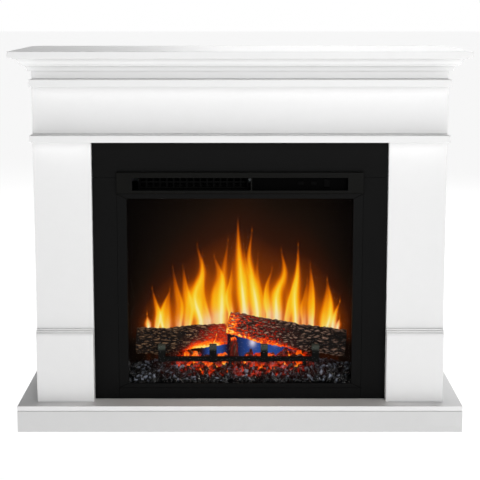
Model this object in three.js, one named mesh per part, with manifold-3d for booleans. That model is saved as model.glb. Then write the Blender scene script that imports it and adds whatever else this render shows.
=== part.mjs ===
// Electric fireplace: a lacquered mantel surround with a glass-fronted log insert.
// Millimetres, +Z up. X runs left to right, Y runs from the room (-) to the wall (+).
// The origin is on the floor, in the middle of the footprint.

import * as THREE from 'three';
import { mergeVertices } from 'three/addons/utils/BufferGeometryUtils.js';
import Module from 'manifold-3d';

const wasm = await Module();
wasm.setup();

// ---------- Driving dimensions ----------

const GAP = 0.3; // between pieces that touch
const RUNNING_GAP = 0.5; // around everything that turns or slides

// Mantel
const BODY_WIDTH = 1010;
const OVERALL_DEPTH = 386;
const OPENING_WIDTH = 727;
const OPENING_HEIGHT = 653.5;
const BOARD = 16; // thickness of every main board
const HEARTH_HEIGHT = 66.5;
const HEARTH_TOP_THICKNESS = 12;
const HEARTH_GROOVE = 1.2; // shadow line between the hearth's top board and its rails
const HEARTH_OVERHANG = 45;
const PILASTER_SETBACK = 49; // from the hearth's front edge
const PLINTH_HEIGHT = 171.5;
const PLINTH_THICKNESS = 15;
const PLINTH_STEP_HEIGHT = 4.6;
const PLINTH_STEPS = 3;
const BAND_HEIGHT = 17;
const BAND_PROJECTION = 46;
const FRIEZE_HEIGHT = 117;
const STRIP_HEIGHT = 17.6;
const CROWN_HEIGHT = 34;
const CROWN_PROJECTION = 40;
const SHELF_THICKNESS = 15.4;
const SHELF_OVERHANG = 49;
const SHELF_REAR_RADIUS = 30;
const CROWN_END_SETBACK = 12; // side returns stop short of the wall, inside the shelf's rounded corners
const BACK_PANEL_THICKNESS = 3;
const BACK_PANEL_RECESS = 3;

// Insert
const INSERT_SETBACK = 11; // black surround, behind the pilasters' faces
const SHEET = 1.5; // steel sheet
const SURROUND_SIDE_WIDTH = 60.5;
const SURROUND_BOTTOM_HEIGHT = 28.5;
const SURROUND_TOP_HEIGHT = 92;
const HOOD_HEIGHT = 55;
const HOOD_DEPTH = 8;
const HOOD_ABOVE_SEAM = 15;
const HOOD_EDGE_RADIUS = 4;
const SLOT_HEIGHT = 31;
const SLOT_END_WIDTH = 38.5; // hood left solid at each end of the slot
const SLOT_DIVIDER_WIDTH = 4;
const SLOT_DIVIDER_X = 28;
const GLASS_FRAME_SIDE = 24;
const GLASS_FRAME_TOP = 12.4;
const GLASS_FRAME_BOTTOM = 11.4;
const GLASS_FRAME_DEPTH = 6;
const GLASS_THICKNESS = 4;
const GLASS_LAP = 8; // how far the pane runs behind its frame
const CHASSIS_DEPTH = 240; // from the surround's face to the rear sheet
const SCREEN_SETBACK = 168; // from the surround's face
const SCREEN_THICKNESS = 3;
const FIREBOX_FLOOR_RISE = 22; // above the hearth
const DUCT_COMPARTMENT_BELOW_SLOT = 13;
const DUCT_COMPARTMENT_ABOVE_SLOT = 26;

// Fuel bed
const LOG_MEETING_X = -34;
const LOG_END_CLEARANCE = 36;
const LEFT_LOG_RADII = [36, 37, 33, 29];
const LEFT_LOG_RISE = [98, 97, 109, 116]; // axis height over the firebox floor, along the log
const LEFT_LOG_BACK = 104; // axis, behind the surround's face
const RIGHT_LOG_RADII = [31, 36, 37, 37];
const RIGHT_LOG_RISE = [148, 124, 106, 94];
const RIGHT_LOG_BACK = 98;
const STUMP_RADIUS = 17.5;
const STUMP_HEIGHT = 62;
const STUMP_X = -14;
const STUMP_BACK = 69;
const STUMP_FOOT = 53; // over the firebox floor
const EMBER_FRONT_HEIGHT = 11;
const EMBER_BACK_HEIGHT = 50;
const EMBER_RIDGE_BACK = 78;
const EMBER_SIDE_CLEARANCE = 4;
const GRATE_X = -3.5;
const GRATE_POST_SPACING = 130;
const GRATE_POST_WIDTH = 18;
const GRATE_POST_TOP = 103;
const GRATE_BAR_BOTTOM = 61;
const GRATE_BAR_HEIGHT = 12;
const GRATE_BAR_DEPTH = 8;
const GRATE_BAR_SETBACK = 1; // bar, behind the posts' faces
const GRATE_LEG_WIDTH = 9;
const GRATE_LEG_LENGTH = 11;
const GRATE_BACK = 40; // posts' faces, behind the surround's face

// Flame effect
const ROTOR_RADIUS = 22;
const ROTOR_SHAFT_RADIUS = 3;
const ROTOR_RISE = 46;
const ROTOR_VANE_THICKNESS = 0.8;
const ROTOR_VANE_PITCH = 34;
const ROTOR_VANE_TURN = 37; // degrees between neighbours
const ROTOR_MOTOR_RADIUS = 21;
const ROTOR_MOTOR_LENGTH = 24;
const LED_BOARD_WIDTH = 14;
const LED_BOARD_THICKNESS = 1.6;
const LED_SIZE = 5;
const LED_COUNT = 12;

// Fan heater
const IMPELLER_RADIUS = 22;
const IMPELLER_BLADES = 18;
const IMPELLER_BLADE_CHORD = 6;
const IMPELLER_DISC = 2;
const BLOWER_CASE_CLEARANCE = 4;
const BLOWER_BACK = 84; // axis, behind the surround's face
const BLOWER_END_CLEARANCE = 14.5; // from the slot's left end
const BLOWER_RIB_CLEARANCE = 6;
const BLOWER_MOTOR_RADIUS = 20;
const BLOWER_MOTOR_LENGTH = 38;
const HEATER_DEPTH = 14;
const HEATER_BACK = 34;
const HEATER_FINS = 16;

// Controls
const CONTROL_PANEL_BACK = 12; // behind the surround's face
const BUTTON_WIDTH = 16;
const BUTTON_HEIGHT = 10;
const BUTTON_PROUD = 2.5;
const BUTTON_FLANGE = 2; // wider than the button, all round
const BUTTON_SPACING = 32;
const CONTROLS_END_CLEARANCE = 50.5; // rocker's middle, from the slot's right end
const ROCKER_WIDTH = 14;
const ROCKER_HEIGHT = 20;
const ROCKER_TILT = 6; // degrees, resting in its off position
const ROCKER_DEPTH = 9;

// Mains inlet
const GLAND_RADIUS = 8;
const GLAND_BORE = 3.6;
const GLAND_FROM_SIDE = 65;
const GLAND_RISE = 40;

// ---------- Levels and planes worked out from them ----------

const FRONT = -OVERALL_DEPTH / 2;
const WALL = OVERALL_DEPTH / 2;
const BODY = BODY_WIDTH / 2;
const OPENING = OPENING_WIDTH / 2;
const HEARTH = BODY + HEARTH_OVERHANG;

const HEARTH_Z = HEARTH_HEIGHT;
const LINTEL_Z = HEARTH_Z + OPENING_HEIGHT;
const FRIEZE_Z = LINTEL_Z + BAND_HEIGHT;
const UPPER_BAND_Z = FRIEZE_Z + FRIEZE_HEIGHT;
const STRIP_Z = UPPER_BAND_Z + BAND_HEIGHT;
const CROWN_Z = STRIP_Z + STRIP_HEIGHT;
const SHELF_Z = CROWN_Z + CROWN_HEIGHT;

const PILASTER_Y = FRONT + PILASTER_SETBACK;
const BEHIND_FRONTS = PILASTER_Y + BOARD;
const BAND_Y = PILASTER_Y - BAND_PROJECTION;
const BACK_PANEL_Y = WALL - BACK_PANEL_RECESS - BACK_PANEL_THICKNESS;

const INSERT_Y = PILASTER_Y + INSERT_SETBACK;
const SURROUND = OPENING - GAP;
const FRAME = OPENING - SURROUND_SIDE_WIDTH;
const FRAME_BOTTOM_Z = HEARTH_Z + SURROUND_BOTTOM_HEIGHT;
const SEAM_Z = LINTEL_Z - SURROUND_TOP_HEIGHT;
const HOOD_TOP_Z = SEAM_Z + HOOD_ABOVE_SEAM;
const HOOD_Z = HOOD_TOP_Z - HOOD_HEIGHT;
const SLOT_TOP_Z = SEAM_Z;
const SLOT_Z = SLOT_TOP_Z - SLOT_HEIGHT;
const SLOT = FRAME - SLOT_END_WIDTH;
const GLASS_Y = INSERT_Y + GLASS_FRAME_DEPTH + GAP;
const FIREBOX = FRAME - GAP;
const FLOOR_Z = HEARTH_Z + FIREBOX_FLOOR_RISE + SHEET;
const CEILING_Z = SLOT_Z - DUCT_COMPARTMENT_BELOW_SLOT - SHEET;
const CHASSIS_TOP_Z = SLOT_TOP_Z + DUCT_COMPARTMENT_ABOVE_SLOT;
const CHASSIS_FRONT = GLASS_Y + GLASS_THICKNESS + GAP;
const CHASSIS_Y = INSERT_Y + CHASSIS_DEPTH;
const SCREEN_Y = INSERT_Y + SCREEN_SETBACK;

// ---------- Finishes ----------

const finish = (color, roughness, metalness = 0, extra = {}) =>
  new THREE.MeshStandardMaterial({ color, roughness, metalness, ...extra });

const LACQUER = finish(0xf0f0f0, 0.42);
const HARDBOARD = finish(0x8a6f50, 0.85);
const BLACK_STEEL = finish(0x151515, 0.55, 0.3);
const HOOD_PLASTIC = finish(0x161613, 0.4);
const GLASS = finish(0x20242a, 0.05, 0, { transparent: true, opacity: 0.35 });
const SCREEN = finish(0x2a1206, 0.35);
const BARK = finish(0x3a2a20, 0.9);
const CHAR = finish(0x17110e, 0.95);
const COAL = finish(0x121214, 0.5);
const CAST_IRON = finish(0x0d0d0d, 0.65, 0.4);
const ZINC = finish(0xa9adb0, 0.35, 0.9);
const BRIGHT = finish(0xd9dcdf, 0.15, 1);
const CIRCUIT = finish(0x1d4a2c, 0.5);
const BLACK_PLASTIC = finish(0x0c0c0c, 0.45);
const CERAMIC = finish(0x8e8a84, 0.6);

// ---------- Helpers ----------

const fireplace = new THREE.Group();

function add(name, material, geometry) {
  const mesh = new THREE.Mesh(geometry, material);
  mesh.name = name;
  fireplace.add(mesh);
  return mesh;
}

// A block between two values on each axis.
function block([x0, x1], [y0, y1], [z0, z1]) {
  const geometry = new THREE.BoxGeometry(x1 - x0, y1 - y0, z1 - z0);
  geometry.translate((x0 + x1) / 2, (y0 + y1) / 2, (z0 + z1) / 2);
  return geometry;
}

// The same span on the left (-1) or right (+1) of the middle.
const mirrored = (side, near, far) => (side > 0 ? [near, far] : [-far, -near]);

const SIDES = [['left', -1], ['right', 1]];

// Outlines are lists of [u, v] points.
function outline(points) {
  return new THREE.Shape(points.map(([u, v]) => new THREE.Vector2(u, v)));
}

// An outline in Y and Z, run along X.
function alongX(shape, [x0, x1]) {
  const geometry = new THREE.ExtrudeGeometry(shape, { depth: x1 - x0, bevelEnabled: false });
  const turn = new THREE.Matrix4().makeBasis(
    new THREE.Vector3(0, 1, 0), new THREE.Vector3(0, 0, 1), new THREE.Vector3(1, 0, 0));
  geometry.applyMatrix4(turn);
  geometry.translate(x0, 0, 0);
  return geometry;
}

// An outline in X and Z, run along Y.
function alongY(shape, [y0, y1]) {
  const geometry = new THREE.ExtrudeGeometry(shape, { depth: y1 - y0, bevelEnabled: false });
  const turn = new THREE.Matrix4().makeBasis(
    new THREE.Vector3(1, 0, 0), new THREE.Vector3(0, 0, 1), new THREE.Vector3(0, -1, 0));
  geometry.applyMatrix4(turn);
  geometry.translate(0, y1, 0);
  return geometry;
}

// A round bar along X, between two places.
function barX([x0, x1], y, z, radius, segments = 24) {
  const geometry = new THREE.CylinderGeometry(radius, radius, x1 - x0, segments);
  geometry.rotateZ(-Math.PI / 2);
  geometry.translate((x0 + x1) / 2, y, z);
  return geometry;
}

// A round bar along Y, between two places.
function barY(x, [y0, y1], z, radius, segments = 32) {
  const geometry = new THREE.CylinderGeometry(radius, radius, y1 - y0, segments);
  geometry.translate(x, (y0 + y1) / 2, z);
  return geometry;
}

// The same surface with each corner stored once.
function welded(geometry) {
  const bare = geometry.clone();
  bare.deleteAttribute('normal');
  bare.deleteAttribute('uv');
  return mergeVertices(bare, 1e-4);
}

// Boolean solids.
function solid(geometry) {
  const merged = welded(geometry);
  return new wasm.Manifold(new wasm.Mesh({
    numProp: 3,
    vertProperties: new Float32Array(merged.attributes.position.array),
    triVerts: new Uint32Array(merged.index.array),
  }));
}

function shape(manifold) {
  const mesh = manifold.getMesh();
  const geometry = new THREE.BufferGeometry();
  geometry.setAttribute('position', new THREE.BufferAttribute(mesh.vertProperties, 3));
  geometry.setIndex(new THREE.BufferAttribute(mesh.triVerts, 1));
  geometry.computeVertexNormals();
  return geometry;
}

const joined = (pieces) => pieces.map(solid).reduce((whole, piece) => whole.add(piece));
const cut = (whole, pieces) => pieces.map(solid).reduce((rest, piece) => rest.subtract(piece), whole);

// ---------- Hearth ----------

const RAIL_TOP = HEARTH_Z - HEARTH_TOP_THICKNESS - HEARTH_GROOVE;

add('hearth_board', LACQUER,
  block([-HEARTH, HEARTH], [FRONT, WALL], [HEARTH_Z - HEARTH_TOP_THICKNESS, HEARTH_Z]));

// The rails carry a narrow tongue, set back from the face, that the top board rests on.
const TONGUE_SETBACK = 3;
add('hearth_front_rail', LACQUER, alongX(outline([
  [FRONT, 0],
  [FRONT + BOARD, 0],
  [FRONT + BOARD, RAIL_TOP + HEARTH_GROOVE - GAP],
  [FRONT + TONGUE_SETBACK, RAIL_TOP + HEARTH_GROOVE - GAP],
  [FRONT + TONGUE_SETBACK, RAIL_TOP],
  [FRONT, RAIL_TOP],
]), [-HEARTH, HEARTH]));

for (const [word, side] of SIDES) {
  const rail = [
    [side * HEARTH, 0],
    [side * (HEARTH - BOARD), 0],
    [side * (HEARTH - BOARD), RAIL_TOP + HEARTH_GROOVE - GAP],
    [side * (HEARTH - TONGUE_SETBACK), RAIL_TOP + HEARTH_GROOVE - GAP],
    [side * (HEARTH - TONGUE_SETBACK), RAIL_TOP],
    [side * HEARTH, RAIL_TOP],
  ];
  add(`hearth_rail_${word}`, LACQUER, alongY(outline(rail), [FRONT + BOARD + GAP, WALL]));
}

// ---------- Pilasters ----------

const PLINTH_Z = HEARTH_Z + PLINTH_HEIGHT;

// Stepped moulding on a plinth: each step is as deep as the plinth's share of the steps.
function plinthMoulding() {
  const run = PLINTH_THICKNESS / PLINTH_STEPS;
  const points = [[PILASTER_Y - GAP, PLINTH_Z + GAP]];
  for (let step = 0; step < PLINTH_STEPS; step += 1) {
    const y = PILASTER_Y - PLINTH_THICKNESS + step * run;
    const z = PLINTH_Z + step * PLINTH_STEP_HEIGHT;
    points.push([y, z + GAP]);
    points.push([y + 0.15 * run, z + 0.8 * PLINTH_STEP_HEIGHT]);
    points.push([y + 0.8 * run, z + PLINTH_STEP_HEIGHT]);
  }
  points.push([PILASTER_Y - GAP, PLINTH_Z + PLINTH_STEPS * PLINTH_STEP_HEIGHT]);
  return outline(points);
}

for (const [word, side] of SIDES) {
  const leg = mirrored(side, OPENING, BODY);
  const between = [HEARTH_Z + GAP, LINTEL_Z - GAP];
  add(`pilaster_${word}`, LACQUER, block(leg, [PILASTER_Y, BEHIND_FRONTS], between));
  add(`plinth_${word}`, LACQUER, block(leg,
    [PILASTER_Y - PLINTH_THICKNESS, PILASTER_Y - GAP], [HEARTH_Z + GAP, PLINTH_Z]));
  add(`plinth_moulding_${word}`, LACQUER, alongX(plinthMoulding(), leg));
  add(`jamb_${word}`, LACQUER, block(mirrored(side, OPENING, OPENING + BOARD),
    [BEHIND_FRONTS + GAP, BACK_PANEL_Y - GAP], between));
  add(`side_panel_${word}`, LACQUER, block(mirrored(side, BODY - BOARD, BODY),
    [BEHIND_FRONTS + GAP, WALL], [HEARTH_Z + GAP, SHELF_Z - GAP]));
  add(`back_panel_${word}`, HARDBOARD, block(mirrored(side, OPENING, BODY - BOARD - GAP),
    [BACK_PANEL_Y, BACK_PANEL_Y + BACK_PANEL_THICKNESS], between));
}

// ---------- Frieze ----------

const ACROSS = [-BODY, BODY];
const INSIDE = [-(BODY - BOARD - GAP), BODY - BOARD - GAP];

add('lower_band', LACQUER, block(ACROSS, [BAND_Y, BEHIND_FRONTS], [LINTEL_Z, FRIEZE_Z]));
add('lintel_board', LACQUER, block(INSIDE,
  [BEHIND_FRONTS + GAP, BACK_PANEL_Y + BACK_PANEL_THICKNESS], [LINTEL_Z, LINTEL_Z + BOARD]));
add('frieze_board', LACQUER, block(ACROSS,
  [PILASTER_Y, BEHIND_FRONTS], [FRIEZE_Z + GAP, UPPER_BAND_Z - GAP]));
add('upper_band', LACQUER, block(ACROSS, [BAND_Y, BEHIND_FRONTS], [UPPER_BAND_Z, STRIP_Z]));
add('crown_backing', LACQUER, block(ACROSS,
  [PILASTER_Y, BEHIND_FRONTS], [STRIP_Z + GAP, SHELF_Z - GAP]));
add('back_panel_top', HARDBOARD, block(INSIDE,
  [BACK_PANEL_Y, BACK_PANEL_Y + BACK_PANEL_THICKNESS], [LINTEL_Z + BOARD + GAP, SHELF_Z - GAP]));

// ---------- Crown and shelf ----------

// A hollow quarter curve from one corner of the profile to the next.
function cove([out0, z0], [out1, z1], steps = 6) {
  const points = [];
  for (let i = 0; i <= steps; i += 1) {
    const angle = (i / steps) * (Math.PI / 2);
    points.push([out1 - (out1 - out0) * Math.cos(angle), z0 + (z1 - z0) * Math.sin(angle)]);
  }
  return points;
}

// How far the crown stands out of the body at each height: two coves with fillets between them.
const FILLET = 2.4;
const LOWER_COVE = [0.23, 0.47];
const UPPER_COVE = [0.62, 1];
const crownProfile = () => {
  const out = (share) => share * CROWN_PROJECTION;
  const middle = CROWN_Z + 0.4 * CROWN_HEIGHT;
  const top = SHELF_Z - GAP;
  return [
    [GAP, CROWN_Z + 1],
    [out(LOWER_COVE[0]) - 1, CROWN_Z + 1],
    [out(LOWER_COVE[0]), CROWN_Z + FILLET],
    ...cove([out(LOWER_COVE[0]), CROWN_Z + FILLET], [out(LOWER_COVE[1]), middle]).slice(1),
    [out(LOWER_COVE[1]), middle + FILLET],
    [out(UPPER_COVE[0]) - 1, middle + FILLET + 1],
    [out(UPPER_COVE[0]), middle + 2.2 * FILLET],
    ...cove([out(UPPER_COVE[0]), middle + 2.2 * FILLET], [out(UPPER_COVE[1]), top - FILLET]).slice(1),
    [out(UPPER_COVE[1]), top],
    [GAP, top],
  ];
};

// A moulding whose two ends are cut where the given functions say.
function moulding(profile, startAt, endAt) {
  const faces = THREE.ShapeUtils.triangulateShape(
    profile.map(([u, v]) => new THREE.Vector2(u, v)), []);
  const count = profile.length;
  const points = [...profile.map(startAt), ...profile.map(endAt)];
  const index = [];
  for (const [a, b, c] of faces) {
    index.push(a, c, b);
    index.push(a + count, b + count, c + count);
  }
  for (let i = 0; i < count; i += 1) {
    const next = (i + 1) % count;
    index.push(i, next, next + count);
    index.push(i, next + count, i + count);
  }
  const geometry = new THREE.BufferGeometry();
  geometry.setAttribute('position', new THREE.Float32BufferAttribute(points.flat(), 3));
  geometry.setIndex(index);
  geometry.computeVertexNormals();
  return geometry;
}

// Turns a closed mesh the right way out.
function outward(geometry) {
  const position = geometry.attributes.position;
  const index = geometry.index.array;
  const corner = (i) => new THREE.Vector3().fromBufferAttribute(position, index[i]);
  let volume = 0;
  for (let i = 0; i < index.length; i += 3) {
    volume += corner(i).dot(corner(i + 1).cross(corner(i + 2)));
  }
  if (volume < 0) {
    for (let i = 0; i < index.length; i += 3) {
      [index[i + 1], index[i + 2]] = [index[i + 2], index[i + 1]];
    }
    geometry.computeVertexNormals();
  }
  return geometry;
}

const MITRE_GAP = 1.5 * GAP;
const crown = crownProfile();

add('crown_front', LACQUER, outward(moulding(crown,
  ([out, z]) => [-(BODY + out), PILASTER_Y - out, z],
  ([out, z]) => [BODY + out, PILASTER_Y - out, z])));

for (const [word, side] of SIDES) {
  add(`crown_${word}`, LACQUER, outward(moulding(crown,
    ([out, z]) => [side * (BODY + out), PILASTER_Y - out + MITRE_GAP, z],
    ([out, z]) => [side * (BODY + out), WALL - CROWN_END_SETBACK, z])));
}

function shelfPlan() {
  const x = BODY + SHELF_OVERHANG;
  const y0 = PILASTER_Y - SHELF_OVERHANG;
  const r = SHELF_REAR_RADIUS;
  const plan = new THREE.Shape();
  plan.moveTo(-x, y0);
  plan.lineTo(x, y0);
  plan.lineTo(x, WALL - r);
  plan.absarc(x - r, WALL - r, r, 0, Math.PI / 2, false);
  plan.lineTo(-(x - r), WALL);
  plan.absarc(-(x - r), WALL - r, r, Math.PI / 2, Math.PI, false);
  plan.closePath();
  return plan;
}

const shelf = new THREE.ExtrudeGeometry(shelfPlan(),
  { depth: SHELF_THICKNESS, bevelEnabled: false, curveSegments: 12 });
shelf.translate(0, 0, SHELF_Z);
add('mantel_shelf', LACQUER, shelf);

// ---------- Black surround, hood and glass ----------

const SURROUND_FACE = [INSERT_Y, INSERT_Y + SHEET];

add('surround_top', BLACK_STEEL,
  block([-SURROUND, SURROUND], SURROUND_FACE, [SEAM_Z + GAP, LINTEL_Z - GAP]));
add('surround_bottom', BLACK_STEEL,
  block([-FRAME, FRAME], SURROUND_FACE, [HEARTH_Z + GAP, FRAME_BOTTOM_Z - GAP]));
for (const [word, side] of SIDES) {
  add(`surround_${word}`, BLACK_STEEL,
    block(mirrored(side, FRAME + GAP, SURROUND), SURROUND_FACE, [HEARTH_Z + GAP, SEAM_Z - GAP]));
}

// The hood's front edges are rounded over; the slot goes through it, with one rib across.
function hoodSection() {
  const y0 = INSERT_Y - GAP - HOOD_DEPTH;
  const y1 = INSERT_Y - GAP;
  const r = HOOD_EDGE_RADIUS;
  const section = new THREE.Shape();
  section.moveTo(y1, HOOD_Z);
  section.lineTo(y1, HOOD_TOP_Z);
  section.lineTo(y0 + r, HOOD_TOP_Z);
  section.absarc(y0 + r, HOOD_TOP_Z - r, r, Math.PI / 2, Math.PI, false);
  section.lineTo(y0, HOOD_Z + r);
  section.absarc(y0 + r, HOOD_Z + r, r, Math.PI, 1.5 * Math.PI, false);
  section.closePath();
  return section;
}

const HOOD_REACH = [INSERT_Y - HOOD_DEPTH - 5, INSERT_Y + 5];
const RIB = [SLOT_DIVIDER_X - SLOT_DIVIDER_WIDTH / 2, SLOT_DIVIDER_X + SLOT_DIVIDER_WIDTH / 2];
const slots = [[-SLOT, RIB[0]], [RIB[1], SLOT]].map((span) => block(span, HOOD_REACH, [SLOT_Z, SLOT_TOP_Z]));
add('outlet_hood', HOOD_PLASTIC,
  shape(cut(solid(alongX(hoodSection(), [-FRAME, FRAME])), slots)));

const FRAME_TOP_Z = HOOD_Z - GAP;
const FRAME_Y = [INSERT_Y, INSERT_Y + GLASS_FRAME_DEPTH];
const PANE = {
  x: FRAME - GLASS_FRAME_SIDE,
  z0: FRAME_BOTTOM_Z + GLASS_FRAME_BOTTOM,
  z1: FRAME_TOP_Z - GLASS_FRAME_TOP,
};

// Four bars mitred round the pane.
add('glass_frame_top', BLACK_STEEL, alongY(outline([
  [-FRAME, FRAME_TOP_Z], [-PANE.x, PANE.z1], [PANE.x, PANE.z1], [FRAME, FRAME_TOP_Z]]), FRAME_Y));
add('glass_frame_bottom', BLACK_STEEL, alongY(outline([
  [-FRAME, FRAME_BOTTOM_Z], [FRAME, FRAME_BOTTOM_Z], [PANE.x, PANE.z0], [-PANE.x, PANE.z0]]), FRAME_Y));
for (const [word, side] of SIDES) {
  const lean = MITRE_GAP;
  add(`glass_frame_${word}`, BLACK_STEEL, alongY(outline([
    [side * FRAME, FRAME_BOTTOM_Z + lean],
    [side * FRAME, FRAME_TOP_Z - lean],
    [side * PANE.x, PANE.z1 - lean],
    [side * PANE.x, PANE.z0 + lean],
  ]), FRAME_Y));
}

add('glass_pane', GLASS, block([-(PANE.x + GLASS_LAP), PANE.x + GLASS_LAP],
  [GLASS_Y, GLASS_Y + GLASS_THICKNESS], [PANE.z0 - GLASS_LAP, PANE.z1 + GLASS_LAP]));

// ---------- Insert casing ----------

const CASE_Y = [CHASSIS_FRONT, CHASSIS_Y - GAP];
const ROTOR = { y: (SCREEN_Y + SCREEN_THICKNESS + CHASSIS_Y) / 2, z: FLOOR_Z + ROTOR_RISE };
const BLOWER = { y: INSERT_Y + BLOWER_BACK, z: (SLOT_Z + SLOT_TOP_Z) / 2 };

add('firebox_floor', BLACK_STEEL, block([-FIREBOX, FIREBOX], CASE_Y, [FLOOR_Z - SHEET, FLOOR_Z]));
add('firebox_ceiling', BLACK_STEEL, block([-FIREBOX, FIREBOX], CASE_Y, [CEILING_Z, CEILING_Z + SHEET]));
add('chassis_top', BLACK_STEEL, block([-FIREBOX, FIREBOX],
  [INSERT_Y + SHEET + GAP, CHASSIS_Y - GAP], [CHASSIS_TOP_Z - SHEET, CHASSIS_TOP_Z]));

// Side walls. The left one has the hole that carries the free end of the flame rotor's shaft.
const WALL_Y = [INSERT_Y + GLASS_FRAME_DEPTH + GAP, CHASSIS_Y - GAP];
for (const [word, side] of SIDES) {
  const span = mirrored(side, FIREBOX + GAP, FIREBOX + GAP + SHEET);
  const wall = block(span, WALL_Y, [HEARTH_Z + GAP, CHASSIS_TOP_Z]);
  const shaftHole = barX([span[0] - 1, span[1] + 1], ROTOR.y, ROTOR.z, ROTOR_SHAFT_RADIUS + RUNNING_GAP);
  add(`firebox_wall_${word}`, BLACK_STEEL, side < 0 ? shape(cut(solid(wall), [shaftHole])) : wall);
}

// Rear sheet with its air intake slots and the hole for the mains gland.
const CASE = FIREBOX + GAP + SHEET;
const GLAND_X = CASE - GLAND_FROM_SIDE;
const GLAND_Z = FLOOR_Z + GLAND_RISE;
const VENT = { width: 60, height: 5, pitchX: 80, pitchZ: 14, columns: 5, rows: 4, below: 24 };
function rearSheet() {
  const through = [CHASSIS_Y - 1, CHASSIS_Y + SHEET + 1];
  const holes = [barY(GLAND_X, through, GLAND_Z, GLAND_RADIUS + GAP)];
  for (let column = 0; column < VENT.columns; column += 1) {
    for (let row = 0; row < VENT.rows; row += 1) {
      const x = (column - (VENT.columns - 1) / 2) * VENT.pitchX;
      const z = CHASSIS_TOP_Z - VENT.below - row * VENT.pitchZ;
      holes.push(block([x - VENT.width / 2, x + VENT.width / 2], through, [z - VENT.height, z]));
    }
  }
  const sheet = block([-CASE, CASE], [CHASSIS_Y, CHASSIS_Y + SHEET], [HEARTH_Z + GAP, CHASSIS_TOP_Z]);
  return shape(cut(solid(sheet), holes));
}
add('chassis_back', ZINC, rearSheet());

// ---------- Flame screen, fuel bed and grate ----------

add('flame_screen', SCREEN, block([-(FIREBOX - GAP), FIREBOX - GAP],
  [SCREEN_Y, SCREEN_Y + SCREEN_THICKNESS], [FLOOR_Z + GAP, CEILING_Z - GAP]));

// A log: rings of uneven radius round a bent axis, closed by flat ends.
function log(axis, radii, roughness, seed) {
  const around = 16;
  const rings = 14;
  const curve = new THREE.CatmullRomCurve3(axis);
  const points = [];
  const index = [];
  for (let i = 0; i <= rings; i += 1) {
    const t = i / rings;
    const centre = curve.getPoint(t);
    const along = curve.getTangent(t);
    const sideways = new THREE.Vector3(0, 1, 0).cross(along).normalize();
    const upright = along.clone().cross(sideways).normalize();
    const place = t * (radii.length - 1);
    const low = Math.min(Math.floor(place), radii.length - 2);
    const radius = THREE.MathUtils.lerp(radii[low], radii[low + 1], place - low);
    for (let j = 0; j < around; j += 1) {
      const angle = (j / around) * 2 * Math.PI;
      const bump = 1 - roughness * (0.5 + 0.5 * Math.sin(3 * angle + seed + 4 * t)
        * Math.cos(2 * angle - 2 * seed + 7 * t));
      points.push(centre.clone()
        .addScaledVector(sideways, radius * bump * Math.cos(angle))
        .addScaledVector(upright, radius * bump * Math.sin(angle)));
    }
  }
  for (let i = 0; i < rings; i += 1) {
    for (let j = 0; j < around; j += 1) {
      const a = i * around + j;
      const b = i * around + ((j + 1) % around);
      index.push(a, a + around, b + around, a, b + around, b);
    }
  }
  const last = rings * around;
  for (const [start, turn] of [[0, 1], [last, -1]]) {
    const middle = points.length;
    points.push(curve.getPoint(start ? 1 : 0));
    for (let j = 0; j < around; j += 1) {
      const a = start + j;
      const b = start + ((j + 1) % around);
      index.push(middle, turn > 0 ? a : b, turn > 0 ? b : a);
    }
  }
  const geometry = new THREE.BufferGeometry();
  const numbers = points.flatMap((p) => [p.x, p.y, p.z]);
  geometry.setAttribute('position', new THREE.Float32BufferAttribute(numbers, 3));
  geometry.setIndex(index);
  return outward(geometry);
}

// An axis with evenly spaced X, from one end to the other.
function logAxis([x0, x1], back, rises) {
  return rises.map((rise, i) => new THREE.Vector3(
    THREE.MathUtils.lerp(x0, x1, i / (rises.length - 1)), INSERT_Y + back, FLOOR_Z + rise));
}

const LOG_END = FIREBOX - LOG_END_CLEARANCE;
const LOG_GAP = 6; // between the two rough ends
add('log_left', BARK, log(
  logAxis([-LOG_END, LOG_MEETING_X - LOG_GAP / 2], LEFT_LOG_BACK, LEFT_LOG_RISE),
  LEFT_LOG_RADII, 0.12, 1));
add('log_right', BARK, log(
  logAxis([LOG_MEETING_X + LOG_GAP / 2 + 8, LOG_END], RIGHT_LOG_BACK, RIGHT_LOG_RISE),
  RIGHT_LOG_RADII, 0.12, 2));
add('log_stump', CHAR, log([0, 0.5, 1].map((t) => new THREE.Vector3(
  STUMP_X - 3 * t, INSERT_Y + STUMP_BACK, FLOOR_Z + STUMP_FOOT + t * STUMP_HEIGHT)),
[STUMP_RADIUS, 0.95 * STUMP_RADIUS, 0.6 * STUMP_RADIUS], 0.15, 3));

// The bed rises from the glass to a ridge under the logs, then runs level to the screen.
const BED_FRONT = CHASSIS_FRONT + GAP;
add('ember_bed', COAL, alongX(outline([
  [BED_FRONT, FLOOR_Z + GAP],
  [SCREEN_Y - GAP, FLOOR_Z + GAP],
  [SCREEN_Y - GAP, FLOOR_Z + EMBER_BACK_HEIGHT],
  [INSERT_Y + EMBER_RIDGE_BACK, FLOOR_Z + EMBER_BACK_HEIGHT],
  [(BED_FRONT + INSERT_Y + EMBER_RIDGE_BACK) / 2, FLOOR_Z + 0.6 * (EMBER_FRONT_HEIGHT + EMBER_BACK_HEIGHT)],
  [BED_FRONT, FLOOR_Z + EMBER_FRONT_HEIGHT],
]), [-(FIREBOX - EMBER_SIDE_CLEARANCE), FIREBOX - EMBER_SIDE_CLEARANCE]));

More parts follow.
